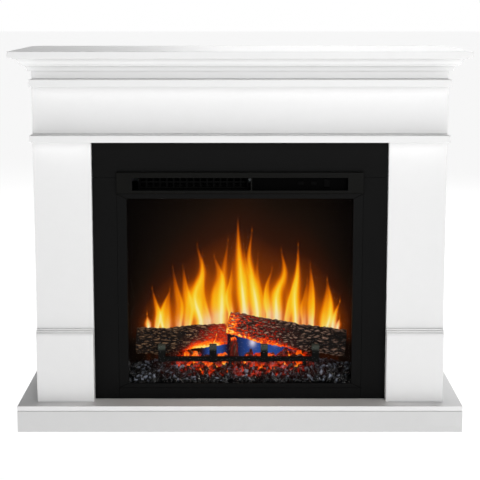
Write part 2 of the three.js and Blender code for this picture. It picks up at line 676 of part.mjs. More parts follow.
// Front bar, four posts and two short legs, in one casting.
function grate() {
  const y0 = INSERT_Y + GRATE_BACK;
  const bar = [y0 + GRATE_BAR_SETBACK, y0 + GRATE_BAR_SETBACK + GRATE_BAR_DEPTH];
  const z0 = FLOOR_Z + GRATE_BAR_BOTTOM;
  const posts = [-1.5, -0.5, 0.5, 1.5].map((place) => GRATE_X + place * GRATE_POST_SPACING);
  const half = GRATE_POST_WIDTH / 2;
  const pieces = [block([posts[0] - half, posts[3] + half], bar, [z0, z0 + GRATE_BAR_HEIGHT])];
  for (const x of posts) {
    pieces.push(block([x - half, x + half], [y0, y0 + GRATE_POST_WIDTH],
      [z0 - 2, FLOOR_Z + GRATE_POST_TOP]));
  }
  for (const x of [posts[1] + 0.3 * GRATE_POST_SPACING, posts[3] - 0.25 * GRATE_POST_SPACING]) {
    pieces.push(block([x, x + GRATE_LEG_WIDTH], bar, [z0 - GRATE_LEG_LENGTH, z0 + 2]));
  }
  return shape(joined(pieces));
}
add('log_grate', CAST_IRON, grate());

// ---------- Flame effect ----------

// The rotor's mirror vanes throw moving light onto the screen.
const ROTOR_END = FIREBOX - ROTOR_MOTOR_LENGTH - GAP;
function flickerRotor() {
  const pieces = [barX([-(CASE + 2), ROTOR_END + 8], ROTOR.y, ROTOR.z, ROTOR_SHAFT_RADIUS, 16)];
  const reach = ROTOR_END - ROTOR_VANE_PITCH;
  const count = Math.floor((2 * reach) / ROTOR_VANE_PITCH);
  for (let i = 0; i <= count; i += 1) {
    const vane = new THREE.BoxGeometry(0.7 * ROTOR_VANE_PITCH, 2 * ROTOR_RADIUS, ROTOR_VANE_THICKNESS);
    vane.rotateX(THREE.MathUtils.degToRad(i * ROTOR_VANE_TURN));
    vane.translate((i - count / 2) * ROTOR_VANE_PITCH, ROTOR.y, ROTOR.z);
    pieces.push(vane);
  }
  return shape(joined(pieces));
}
add('flicker_rotor', BRIGHT, flickerRotor());

// A motor turned about X, whose bearing takes the driven piece's shaft end.
function motor([x0, x1], y, z, radius, shaft) {
  const length = x1 - x0;
  const bore = shaft + RUNNING_GAP;
  const profile = [[bore, 0], [radius - 2, 0], [radius, 2], [radius, length - 2],
    [radius - 2, length], [0, length], [0, 0.6 * length], [bore, 0.6 * length], [bore, 0]];
  const geometry = new THREE.LatheGeometry(profile.map(([r, h]) => new THREE.Vector2(r, h)), 32);
  geometry.rotateZ(-Math.PI / 2);
  geometry.translate(x0, y, z);
  return outward(welded(geometry));
}

add('flicker_motor', ZINC,
  motor([ROTOR_END, FIREBOX - GAP], ROTOR.y, ROTOR.z, ROTOR_MOTOR_RADIUS, ROTOR_SHAFT_RADIUS));

function ledBoard() {
  const x = ROTOR_END - 40;
  const y0 = SCREEN_Y + SCREEN_THICKNESS + 4;
  const pieces = [block([-x, x], [y0, y0 + LED_BOARD_WIDTH],
    [FLOOR_Z + GAP, FLOOR_Z + GAP + LED_BOARD_THICKNESS])];
  for (let i = 0; i < LED_COUNT; i += 1) {
    const led = -x + ((i + 0.5) * 2 * x) / LED_COUNT;
    const y = y0 + LED_BOARD_WIDTH / 2;
    pieces.push(block([led - LED_SIZE / 2, led + LED_SIZE / 2], [y - LED_SIZE / 2, y + LED_SIZE / 2],
      [FLOOR_Z + LED_BOARD_THICKNESS, FLOOR_Z + LED_BOARD_THICKNESS + 2]));
  }
  return shape(joined(pieces));
}
add('led_board', CIRCUIT, ledBoard());

// ---------- Fan heater ----------

const BLOWER_X = [-SLOT + BLOWER_END_CLEARANCE, RIB[0] - BLOWER_RIB_CLEARANCE];
const CASE_RADIUS = IMPELLER_RADIUS + BLOWER_CASE_CLEARANCE;
const END_PLATE = SHEET;

// Cross-flow wheel: end discs, one disc in the middle and a ring of blades.
function impeller() {
  const [x0, x1] = [BLOWER_X[0] + END_PLATE + 3, BLOWER_X[1] - END_PLATE - 3];
  const discs = [x0, (x0 + x1 - IMPELLER_DISC) / 2, x1 - IMPELLER_DISC];
  const pieces = discs.map((x) => barX([x, x + IMPELLER_DISC], BLOWER.y, BLOWER.z, IMPELLER_RADIUS, 36));
  pieces.push(barX([BLOWER_X[0] - 3, x0 + 1], BLOWER.y, BLOWER.z, ROTOR_SHAFT_RADIUS, 16));
  pieces.push(barX([x1 - 1, BLOWER_X[1] + 14], BLOWER.y, BLOWER.z, ROTOR_SHAFT_RADIUS, 16));
  for (let i = 0; i < IMPELLER_BLADES; i += 1) {
    const blade = new THREE.BoxGeometry(x1 - x0 - 1, 1, IMPELLER_BLADE_CHORD);
    blade.rotateX(THREE.MathUtils.degToRad(35));
    blade.translate((x0 + x1) / 2, 0, IMPELLER_RADIUS - 0.6 * IMPELLER_BLADE_CHORD);
    blade.rotateX((i / IMPELLER_BLADES) * 2 * Math.PI);
    blade.translate(0, BLOWER.y, BLOWER.z);
    pieces.push(blade);
  }
  return shape(joined(pieces));
}
add('blower_impeller', BLACK_PLASTIC, impeller());

// The casing wraps the wheel and runs forward as a duct to the slot.
function blowerHousing() {
  const { y, z } = BLOWER;
  const outer = CASE_RADIUS + SHEET;
  const duct = [INSERT_Y + CONTROL_PANEL_BACK, y];
  const inner = [BLOWER_X[0] + END_PLATE, BLOWER_X[1] - END_PLATE];
  const body = solid(barX(BLOWER_X, y, z, outer, 48))
    .add(solid(block(BLOWER_X, duct, [SLOT_Z - SHEET, SLOT_TOP_Z + SHEET])));
  return shape(cut(body, [
    barX(inner, y, z, CASE_RADIUS, 48),
    block(inner, [duct[0] - 1, y], [SLOT_Z, SLOT_TOP_Z]),
    block(inner, [y, y + outer + 1], [z - 0.8 * CASE_RADIUS, z + 0.4 * CASE_RADIUS]),
    barX([BLOWER_X[0] - 1, BLOWER_X[1] + 1], y, z, ROTOR_SHAFT_RADIUS + RUNNING_GAP, 24),
  ]));
}
add('blower_housing', ZINC, blowerHousing());

add('blower_motor', ZINC, motor([BLOWER_X[1] + GAP, BLOWER_X[1] + GAP + BLOWER_MOTOR_LENGTH],
  BLOWER.y, BLOWER.z, BLOWER_MOTOR_RADIUS, ROTOR_SHAFT_RADIUS));

// Ceramic heating bar with fins, across the duct.
function heater() {
  const x = [BLOWER_X[0] + END_PLATE + GAP, BLOWER_X[1] - END_PLATE - GAP];
  const y = [INSERT_Y + HEATER_BACK, INSERT_Y + HEATER_BACK + HEATER_DEPTH];
  const pitch = (x[1] - x[0]) / HEATER_FINS;
  const bar = solid(block(x, y, [SLOT_Z + GAP, SLOT_TOP_Z - GAP]));
  const gaps = [];
  for (let i = 0; i < HEATER_FINS; i += 1) {
    const middle = x[0] + (i + 0.5) * pitch;
    for (const [z0, z1] of [[SLOT_Z + 3, BLOWER.z - 2], [BLOWER.z + 2, SLOT_TOP_Z - 3]]) {
      gaps.push(block([middle - 0.38 * pitch, middle + 0.38 * pitch], [y[0] - 1, y[1] + 1], [z0, z1]));
    }
  }
  return shape(cut(bar, gaps));
}
add('heater_element', CERAMIC, heater());

// ---------- Controls ----------

// A recessed plate behind the right part of the slot, with two push buttons and a mains rocker.
const PANEL_Y = INSERT_Y + CONTROL_PANEL_BACK;
const BUTTON_Z = (SLOT_Z + SLOT_TOP_Z) / 2;
const ROCKER_X = SLOT - CONTROLS_END_CLEARANCE;
const BUTTONS = ['heat', 'flame'].map((word, i) => [word, ROCKER_X - (i + 1) * BUTTON_SPACING]);
const ROCKER_ROOM = 1.5; // above and below the rocker, for its swing

function controlPanel() {
  const through = [PANEL_Y - 1, PANEL_Y + SHEET + 1];
  const opening = (x, halfWidth, halfHeight) => block([x - halfWidth, x + halfWidth], through,
    [BUTTON_Z - halfHeight, BUTTON_Z + halfHeight]);
  const holes = BUTTONS.map(([, x]) => opening(x,
    BUTTON_WIDTH / 2 + RUNNING_GAP, BUTTON_HEIGHT / 2 + RUNNING_GAP));
  holes.push(opening(ROCKER_X, ROCKER_WIDTH / 2 + RUNNING_GAP, ROCKER_HEIGHT / 2 + ROCKER_ROOM));
  const plate = block([RIB[1] + GAP, SLOT + 10], [PANEL_Y, PANEL_Y + SHEET], [SLOT_Z - 5, SLOT_TOP_Z + 5]);
  return shape(cut(solid(plate), holes));
}
add('control_panel', BLACK_PLASTIC, controlPanel());

for (const [word, x] of BUTTONS) {
  const wide = BUTTON_WIDTH / 2 + BUTTON_FLANGE;
  const high = BUTTON_HEIGHT / 2 + BUTTON_FLANGE;
  const flange = PANEL_Y + SHEET + GAP;
  add(`button_${word}`, BLACK_PLASTIC, shape(joined([
    block([x - BUTTON_WIDTH / 2, x + BUTTON_WIDTH / 2], [PANEL_Y - BUTTON_PROUD, flange + 1],
      [BUTTON_Z - BUTTON_HEIGHT / 2, BUTTON_Z + BUTTON_HEIGHT / 2]),
    block([x - wide, x + wide], [flange, flange + 2], [BUTTON_Z - high, BUTTON_Z + high]),
  ])));
}

// The rocker is a shallow V in side view, turning about a pin through its middle.
const rockerSection = outline([
  [-3, -ROCKER_HEIGHT / 2], [-1.6, 0], [-3, ROCKER_HEIGHT / 2],
  [0, ROCKER_HEIGHT / 2], [ROCKER_DEPTH - 3, 3], [ROCKER_DEPTH - 3, -3], [0, -ROCKER_HEIGHT / 2],
]);
const rocker = add('power_rocker', BLACK_PLASTIC,
  alongX(rockerSection, [-ROCKER_WIDTH / 2, ROCKER_WIDTH / 2]));
rocker.position.set(ROCKER_X, PANEL_Y + SHEET / 2, BUTTON_Z);
rocker.rotation.x = THREE.MathUtils.degToRad(-ROCKER_TILT);

// ---------- Mains gland ----------

// Flange inside the rear sheet, neck through it and a tapered nose outside, bored for a cord.
const gland = new THREE.LatheGeometry([
  [GLAND_BORE, -4], [GLAND_RADIUS + 4, -4], [GLAND_RADIUS + 4, -GAP], [GLAND_RADIUS, -GAP],
  [GLAND_RADIUS, SHEET + 6], [0.7 * GLAND_RADIUS, SHEET + 18], [GLAND_BORE, SHEET + 18], [GLAND_BORE, -4],
].map(([r, h]) => new THREE.Vector2(r, h)), 32);
gland.translate(GLAND_X, CHASSIS_Y, GLAND_Z);
add('cable_gland', BLACK_PLASTIC, outward(welded(gland)));

export default fireplace;
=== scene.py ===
# %% [markdown]
# # An electric fireplace in a white mantel
# The object is a lacquered fibreboard mantel with a black steel insert. Behind the insert's glass are
# moulded logs on an iron grate, a bed of coals, and a screen that shows a picture of flames.
# The maker's solids are loaded first. Boards and sheet parts keep those solids and get a softened edge
# and a finish. Logs, coals and the flame picture are built here, because their surface is the whole point.

# %% Load the frame
import math
import random

import bmesh
import bpy
import numpy as np
from mathutils import Matrix, Vector, noise


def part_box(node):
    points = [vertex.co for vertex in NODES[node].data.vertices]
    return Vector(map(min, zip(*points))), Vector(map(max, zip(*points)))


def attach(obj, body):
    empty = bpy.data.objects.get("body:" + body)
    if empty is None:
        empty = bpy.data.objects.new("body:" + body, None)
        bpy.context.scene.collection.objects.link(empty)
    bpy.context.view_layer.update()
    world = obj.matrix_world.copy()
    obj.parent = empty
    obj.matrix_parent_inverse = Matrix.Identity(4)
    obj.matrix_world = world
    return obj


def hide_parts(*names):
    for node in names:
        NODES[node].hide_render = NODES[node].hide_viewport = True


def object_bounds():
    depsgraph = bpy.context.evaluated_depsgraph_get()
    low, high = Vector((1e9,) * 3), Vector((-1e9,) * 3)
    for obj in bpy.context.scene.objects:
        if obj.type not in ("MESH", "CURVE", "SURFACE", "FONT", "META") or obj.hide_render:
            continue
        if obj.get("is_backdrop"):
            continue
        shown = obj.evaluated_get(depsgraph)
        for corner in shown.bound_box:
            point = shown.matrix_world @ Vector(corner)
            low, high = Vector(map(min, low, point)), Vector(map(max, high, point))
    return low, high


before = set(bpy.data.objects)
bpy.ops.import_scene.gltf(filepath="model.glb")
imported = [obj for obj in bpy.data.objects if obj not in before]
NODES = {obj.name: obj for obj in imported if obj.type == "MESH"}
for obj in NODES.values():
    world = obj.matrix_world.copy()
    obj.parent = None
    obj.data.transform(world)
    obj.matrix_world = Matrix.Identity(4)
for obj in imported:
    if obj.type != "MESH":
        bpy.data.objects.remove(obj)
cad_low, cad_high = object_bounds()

print("CAD nodes:", len(NODES), "box", [round(v, 4) for v in (*cad_low, *cad_high)])

# %% [markdown]
# ## Camera and room
# The camera stands three metres off and a little above the shelf, so the shelf's top and the hearth's top
# both show as thin strips. A long lens keeps the mantel's sides nearly parallel. A small lens shift holds
# the uprights straighter than tilting alone would.
# The room is a pale floor and a few soft panels of light. The floor gives a little light of its own, as
# a light table does, so that the ground stays white while the hearth's top can be a soft grey.

# %% Camera
CAMERA_DISTANCE = 3.0
CAMERA_HEIGHT = 1.059
CAMERA_TILT = 8.02
LENS = 94.5
LENS_SHIFT = -0.13

camera = bpy.data.objects.new("camera", bpy.data.cameras.new("camera"))
camera.location = (0, cad_low.y - CAMERA_DISTANCE, CAMERA_HEIGHT)
camera.rotation_euler = (math.radians(90 - CAMERA_TILT), 0, 0)
camera.data.sensor_width = 36
camera.data.lens = LENS
camera.data.shift_y = LENS_SHIFT
scene = bpy.context.scene
scene.collection.objects.link(camera)
scene.camera = camera
scene.view_settings.view_transform = "Standard"


# %% Light panels
def light_panel(name, place, target, size, power, tint=(1, 1, 1)):
    """A soft square light that faces the target."""
    panel = bpy.data.objects.new(name, bpy.data.lights.new(name, "AREA"))
    panel.data.shape = "SQUARE"
    panel.data.size = size
    panel.data.energy = power
    panel.data.color = tint
    panel.location = place
    direction = Vector(target) - Vector(place)
    panel.rotation_euler = direction.to_track_quat("-Z", "Y").to_euler()
    scene.collection.objects.link(panel)
    return panel


MIDDLE = (0, 0, 0.5)
light_panel("key_panel", (1.2, -3.8, 1.6), (0, 0, 0.80), 1.8, 9.6).data.spread = math.radians(70)
light_panel("fill_panel", (-2.2, -3.2, 1.6), (0, 0, 0.80), 1.8, 1.8).data.spread = math.radians(70)
light_panel("rim_panel", (0.6, 2.2, 2.8), (0, 0, 0.8), 2.2, 84)
light_panel("fuel_bed_lamp", (0, -0.105, 0.565), (0, -0.045, 0.15), 0.02, 0.52, (1, 0.88, 0.76))

# %% [markdown]
# ## A short way to write finishes
# A finish is a small graph of nodes. Written out in full, each sum would take three lines, so one class
# wraps a socket and lets Python's own signs add the Math nodes. Every other node comes from one method
# that sets the node's options first and then its sockets.


# %% Sockets that can be added and multiplied
class Flow:
    """What comes out of a node: a value, a vector or a colour."""

    def __init__(self, finish, socket):
        self.finish = finish
        self.socket = socket

    def sum_of(self, operation, first, second):
        return self.finish.node("ShaderNodeMath", {"operation": operation}, {0: first, 1: second})

    def __add__(self, other):
        return self.sum_of("ADD", self, other)

    __radd__ = __add__

    def __mul__(self, other):
        return self.sum_of("MULTIPLY", self, other)

    __rmul__ = __mul__

    def __sub__(self, other):
        return self.sum_of("SUBTRACT", self, other)

    def __rsub__(self, other):
        return self.sum_of("SUBTRACT", other, self)

    def __truediv__(self, other):
        return self.sum_of("DIVIDE", self, other)

    def __pow__(self, other):
        return self.sum_of("POWER", self, other)


# %% A finish in the making
def grey(value):
    return (value, value, value, 1)


class Finish:
    """A material with one Principled shader, and the nodes that feed it."""

    def __init__(self, name, **sockets):
        self.material = bpy.data.materials.new(name)
        self.material.use_nodes = True
        self.tree = self.material.node_tree
        self.shader = self.tree.nodes["Principled BSDF"]
        self.set(**sockets)

    def feed(self, socket, value):
        if isinstance(value, Flow):
            self.tree.links.new(value.socket, socket)
        else:
            socket.default_value = value

    def node(self, kind, settings=None, sockets=None, output=0):
        made = self.tree.nodes.new(kind)
        for option, value in (settings or {}).items():
            if option == "stops":
                self.set_stops(made.color_ramp, value)
            else:
                setattr(made, option, value)
        for socket, value in (sockets or {}).items():
            self.feed(made.inputs[socket], value)
        return Flow(self, made.outputs[output])

    def set_stops(self, ramp, stops):
        ramp.elements.remove(ramp.elements[1])
        ramp.elements[0].position = stops[0][0]
        ramp.elements[0].color = (*stops[0][1], 1)
        for place, colour in stops[1:]:
            ramp.elements.new(place).color = (*colour, 1)

    def set(self, **sockets):
        """Feeds the shader. base_color feeds Base Color, and so on."""
        named = {name.lower().replace(" ", "_"): name for name in self.shader.inputs.keys()}
        for key, value in sockets.items():
            self.feed(self.shader.inputs[named[key]], value)
        return self

    def place(self, *stretch):
        """Where a point is in the object's own metres, stretched along each axis."""
        where = self.node("ShaderNodeTexCoord", output="Object")
        return self.node("ShaderNodeVectorMath", {"operation": "MULTIPLY"},
                         {0: where, 1: stretch or (1, 1, 1)})

    def grain(self, scale, detail=3, roughness=0.5, where=None, distortion=0):
        """Cloudy noise, from 0 to 1. The scale is in grains to the metre."""
        return self.node("ShaderNodeTexNoise", None, {
            "Vector": where or self.place(), "Scale": scale, "Detail": detail,
            "Roughness": roughness, "Distortion": distortion})

    def cells(self, scale, feature="F1", where=None, output="Distance"):
        return self.node("ShaderNodeTexVoronoi", {"feature": feature},
                         {"Vector": where or self.place(), "Scale": scale}, output)

    def blend(self, share, first, second):
        """A colour between two others."""
        return self.node("ShaderNodeMix", {"data_type": "RGBA"}, {0: share, 6: first, 7: second}, 2)

    def ramp(self, value, *stops):
        return self.node("ShaderNodeValToRGB", {"stops": stops}, {0: value})

    def clamp(self, value, low, high):
        """0 below low, 1 above high, and smooth between."""
        return self.node("ShaderNodeMapRange", {"interpolation_type": "SMOOTHSTEP"},
                         {"Value": value, "From Min": low, "From Max": high})

    def bump(self, height, depth, strength=1.0):
        """A surface relief, with its depth in metres."""
        return self.node("ShaderNodeBump", None,
                         {"Height": height, "Distance": depth, "Strength": strength})

    def attribute(self, name):
        return self.node("ShaderNodeAttribute", {"attribute_name": name}, None, "Fac")


def linear(code):
    """A colour in linear light from its usual six-digit code."""
    parts = [int(code[i:i + 2], 16) / 255 for i in (0, 2, 4)]
    return tuple(c / 12.92 if c <= 0.04045 else ((c + 0.055) / 1.055) ** 2.4 for c in parts)


# %% [markdown]
# ## The white studio
# A studio sweep is brightest at the horizon and dims overhead. The sky here does the same: its brightness
# is read from the height of the direction it is seen in. Upright faces then get more light than the
# hearth's top does.


# %% Studio sweep
def studio_sweep():
    world = bpy.data.worlds.new("studio")
    world.use_nodes = True
    tree = world.node_tree
    where = tree.nodes.new("ShaderNodeTexCoord")
    parts = tree.nodes.new("ShaderNodeSeparateXYZ")
    ramp = tree.nodes.new("ShaderNodeValToRGB")
    tree.links.new(where.outputs["Generated"], parts.inputs[0])
    tree.links.new(parts.outputs["Z"], ramp.inputs[0])
    tree.links.new(ramp.outputs[0], tree.nodes["Background"].inputs["Color"])
    ramp.color_ramp.elements[0].color = grey(1.0)
    ramp.color_ramp.elements[0].position = 0.03
    ramp.color_ramp.elements[1].color = grey(0.06)
    ramp.color_ramp.elements[1].position = 0.32
    return world


scene.world = studio_sweep()

# %% [markdown]
# ## Finishes of the mantel
# The boards are fibreboard under satin white lacquer. Sprayed lacquer is never quite flat: it has a very
# fine orange-peel relief, and its gloss drifts a little. Both come from noise at the size of the real
# marks. The back panels are raw hardboard, whose pressed fibres show as short brown strokes.


# %% Lacquer and hardboard
def satin_lacquer(name="satin_lacquer", white=0.86):
    f = Finish(name, ior=1.5, coat_roughness=0.3)
    drift = f.grain(2.2, 2)
    cloud = f.grain(38, 4, 0.6)
    peel = f.grain(620, 2, 0.4)
    tone = drift * 0.6 + cloud * 0.4
    f.set(
        base_color=f.blend(tone, grey(white - 0.06), grey(white)),
        roughness=0.34 + 0.16 * f.grain(90, 3),
        coat_weight=0.05 + 0.1 * drift,
        normal=f.bump(peel + 0.6 * cloud, 0.00012, 0.5),
    )
    return f.material


def raw_hardboard():
    f = Finish("raw_hardboard", specular_ior_level=0.25)
    fibre = f.grain(240, 6, 0.7, f.place(0.35, 1, 1), 1.4)
    fleck = f.grain(900, 2, 0.6)
    patch = f.grain(7, 3)
    colour = f.ramp(fibre * 0.6 + fleck * 0.25 + patch * 0.15,
                    (0.3, linear("5d4630")), (0.5, linear("86694a")), (0.7, linear("a98a66")))
    f.set(base_color=colour, roughness=0.72 + 0.2 * fleck,
          normal=f.bump(fibre + 0.5 * fleck, 0.0004, 0.6))
    return f.material


# %% [markdown]
# ## Finishes of the insert
# The surround and the glass frame are powder-coated steel: nearly black, matt, with a grain that only
# shows in glancing light. The air outlet is moulded plastic with a little more sheen. Iron, zinc, foil
# and the circuit board each get the mark that makes them what they are: casting pits, spangle, creases
# and copper tracks.


# %% Dark coatings and plastics
def powder_coat(name="powder_coat", dark=0.0022, light=0.0042, gloss=0.52):
    f = Finish(name, specular_ior_level=0.07)
    grain = f.grain(1300, 3, 0.6)
    cloud = f.grain(14, 3)
    f.set(base_color=f.blend(grain * 0.5 + cloud * 0.5, grey(dark), grey(light)),
          roughness=gloss + 0.16 * grain,
          normal=f.bump(grain, 0.00022, 0.55))
    return f.material


def moulded_plastic(name, dark, light, gloss, relief=0.00014, sheen=0.07):
    f = Finish(name, specular_ior_level=sheen)
    spark = f.cells(1500)
    cloud = f.grain(30, 3)
    f.set(base_color=f.blend(cloud, dark, light), roughness=gloss + 0.14 * cloud,
          normal=f.bump(spark, relief, 0.5))
    return f.material


GRATE_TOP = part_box("log_grate")[1].z


def cast_iron():
    f = Finish("cast_iron", specular_ior_level=0.12)
    pits = f.grain(420, 4, 0.7)
    scale = f.grain(45, 4, 0.6)
    height = f.node("ShaderNodeSeparateXYZ", None, {0: f.place()}, "Z")
    black = f.ramp(scale * 0.6 + pits * 0.4, (0.35, linear("050505")),
                   (0.6, linear("0a0b0a")), (0.8, linear("181c19")))
    # Painted highlight: the top of the grate is painted a lighter grey-green, standing in for light that
    # catches it there.
    worn = f.clamp(height + 0.004 * scale, GRATE_TOP - 0.014, GRATE_TOP - 0.004)
    f.set(base_color=f.blend(worn * (0.3 + 0.6 * pits), black, (*linear("5c6258"), 1)),
          roughness=0.62 + 0.3 * scale,
          normal=f.bump(pits + scale, 0.0006, 0.6))
    return f.material


# %% Bright metal, board and ceramic
def zinc_sheet():
    f = Finish("zinc_sheet", metallic=0.95)
    spangle = f.cells(95, output="Color")
    flake = f.node("ShaderNodeSeparateColor", None, {0: spangle})
    scratch = f.grain(160, 5, 0.7, f.place(0.1, 1, 1))
    f.set(base_color=f.ramp(flake * 0.7 + scratch * 0.3, (0.1, linear("8b9196")),
                            (0.5, linear("a8adb1")), (0.9, linear("c4c8ca"))),
          roughness=0.28 + 0.22 * flake,
          normal=f.bump(scratch, 0.0001, 0.4))
    return f.material


def mirror_foil():
    f = Finish("mirror_foil", metallic=1.0)
    crease = f.cells(70, "DISTANCE_TO_EDGE")
    cloud = f.grain(120, 3)
    f.set(base_color=f.blend(cloud, grey(0.72), grey(0.88)), roughness=0.06 + 0.12 * cloud,
          normal=f.bump(crease + 0.3 * cloud, 0.0008, 0.6))
    return f.material


def circuit_board():
    f = Finish("circuit_board", coat_roughness=0.1)
    tracks = f.node("ShaderNodeTexBrick", {"offset": 0.5}, {
        "Vector": f.place(1, 1, 1), "Scale": 90, "Mortar Size": 0.04,
        "Color1": (*linear("14402a"), 1), "Color2": (*linear("1b5234"), 1),
        "Mortar": (*linear("2f7a50"), 1)})
    grain = f.grain(500, 2)
    f.set(base_color=tracks, roughness=0.3 + 0.2 * grain, coat_weight=0.2 + 0.2 * grain,
          normal=f.bump(grain, 0.0001, 0.4))
    return f.material


def heater_ceramic():
    f = Finish("heater_ceramic", specular_ior_level=0.05)
    ribs = f.node("ShaderNodeTexWave", {"bands_direction": "X"}, {
        "Vector": f.place(), "Scale": 60, "Distortion": 0.4, "Detail": 2})
    speck = f.grain(700, 3, 0.7)
    mix = f.node("ShaderNodeSeparateColor", None, {0: ribs}) * 0.4 + speck * 0.6
    # The element is dark, and this ramp is darker still as painted shade, so that it doesn't show through
    # the air slot.
    f.set(base_color=f.ramp(mix, (0.2, linear("030303")), (0.8, linear("080808"))),
          roughness=0.5 + 0.3 * speck, normal=f.bump(mix, 0.0004, 0.6))
    return f.material


# %% [markdown]
# ## Glass
# The pane is thin tinted glass. It could be a refracting solid, but light would then reach the fire only
# along rare paths and the picture would be noisy. A nearly clear surface with a weak reflection gives the
# same look. A trace of haze makes it read as glass when the light catches it.


# %% Tinted glass
def tinted_glass():
    f = Finish("tinted_glass", base_color=(0.001, 0.001, 0.001, 1), ior=1.45,
               specular_ior_level=0.25)
    haze = f.grain(9, 4, 0.6)
    wipe = f.grain(26, 4, 0.6, f.place(0.25, 1, 1), 0.8)
    f.set(roughness=0.03 + 0.08 * wipe, alpha=0.03 + 0.03 * haze)
    return f.material


# %% [markdown]
# ## Softened edges
# No board or folded sheet has a perfectly sharp edge: lacquer and powder pull back from it and leave a
# small radius that catches the light. A Bevel modifier adds that radius. The solids come as triangles,
# so they are welded and their flat faces are merged first, and the normals are weighted last, which
# keeps the flats flat.


# %% Edges and finishes of the kept parts
def soften(node, radius, steps=3):
    weld = node.modifiers.new("weld", "WELD")
    weld.merge_threshold = 0.00001
    merge = node.modifiers.new("merge_flats", "DECIMATE")
    merge.decimate_type = "DISSOLVE"
    merge.angle_limit = math.radians(1)
    bevel = node.modifiers.new("soft_edge", "BEVEL")
    bevel.width = radius
    bevel.segments = steps
    bevel.limit_method = "ANGLE"
    bevel.angle_limit = math.radians(30)
    flats = node.modifiers.new("flat_normals", "WEIGHTED_NORMAL")
    flats.keep_sharp = False


def dress(material, names, radius=None):
    for name in names:
        node = NODES[name]
        node.data.materials.clear()
        node.data.materials.append(material)
        for face in node.data.polygons:
            face.material_index = 0
        if radius:
            soften(node, radius)


def starting(*words):
    return sorted(n for n in NODES if n.startswith(words))


LACQUER = satin_lacquer()
BLACK = powder_coat()
PLASTIC = moulded_plastic("black_plastic", grey(0.002), grey(0.0045), 0.42)
ZINC = zinc_sheet()
dress(LACQUER, starting("hearth_board", "pilaster_", "plinth_left", "plinth_right", "jamb_", "side_panel_",
                        "lower_band", "lintel_", "frieze_", "upper_band", "crown_backing",
                        "mantel_shelf"), 0.0011)
# Painted shade: the hearth's rails take a greyer copy of the same lacquer, so the hearth's edge reads less
# lit than the boards above.
dress(satin_lacquer("hearth_painted_shade_lacquer", 0.70), starting("hearth_front_rail", "hearth_rail_"), 0.0011)
dress(LACQUER, starting("plinth_moulding_", "crown_front", "crown_left", "crown_right"), 0.0004)
dress(raw_hardboard(), starting("back_panel_"), 0.0004)
dress(BLACK, starting("surround_", "firebox_", "chassis_top"), 0.0004)
dress(powder_coat("frame_enamel", 0.0016, 0.0034, 0.4), starting("glass_frame_"), 0.0007)
dress(moulded_plastic("hood_plastic", (0.0018, 0.0018, 0.0014, 1), (0.0034, 0.0034, 0.0028, 1), 0.36),
      ["outlet_hood"], 0.0008)
dress(tinted_glass(), ["glass_pane"], 0.0004)
dress(cast_iron(), ["log_grate"], 0.0018)
dress(ZINC, ["chassis_back", "flicker_motor", "blower_motor"])
# Painted shade: the blower housing is painted nearly black, darker than the surround, so it stays unseen
# in the shade of the air slot.
dress(powder_coat("housing_painted_shade", 0.0004, 0.0009, 0.7), ["blower_housing"])
dress(mirror_foil(), ["flicker_rotor"])
dress(circuit_board(), ["led_board"])
dress(heater_ceramic(), ["heater_element"])
dress(PLASTIC, ["blower_impeller", "cable_gland"])
# Painted shade: the control panel and its buttons are darker than the other black plastics, so they read
# as lying in the shade of the air slot.
dress(moulded_plastic("panel_plastic", grey(0.0003), grey(0.0008), 0.55, sheen=0.02), ["control_panel"])
dress(moulded_plastic("button_plastic", grey(0.0004), grey(0.0012), 0.5, sheen=0.03),
      ["button_flame", "button_heat", "power_rocker"], 0.0006)
print("dressed nodes:", sum(1 for n in NODES.values() if n.data.materials))

# %% [markdown]
# ## Making a piece
# Every built piece is a list of points, a list of faces, and a few numbers stored on each point, such as
# how deep the bark is there or how hot it glows. The finish reads those numbers by name.


# %% A piece from points and faces
def make_piece(name, points, faces, material, slot, stands_for=(), smooth=True, **numbers):
    mesh = bpy.data.meshes.new(name)
    mesh.from_pydata([tuple(p) for p in points], [], faces)
    mesh.materials.append(material)
    for key, values in numbers.items():
        stored = mesh.attributes.new(key, "FLOAT", "POINT")
        stored.data.foreach_set("value", np.asarray(values, np.float32))
    mesh.polygons.foreach_set("use_smooth", [smooth] * len(mesh.polygons))
    mesh.update()
    piece = bpy.data.objects.new(name, mesh)
    scene.collection.objects.link(piece)
    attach(piece, "root")
    if stands_for:
        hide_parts(*stands_for)
    print(f"{name}: {len(mesh.vertices)} points, {len(mesh.polygons)} faces")
    return piece


def smooth_step(low, high, value):
    share = np.clip((value - low) / (high - low), 0, 1)
    return share * share * (3 - 2 * share)


# %% [markdown]
# ## The flame picture
# The real insert throws light from spinning mirrors on to a screen, which shows a flat picture of
# flames. The picture could be one big node graph, but each tongue of flame needs a bent middle line, and
# that is easier to say in Python. So a fine grid stores two numbers at each point: how hot the flame is,
# and how much of the cool blue gas shows. A ramp turns heat into colour.

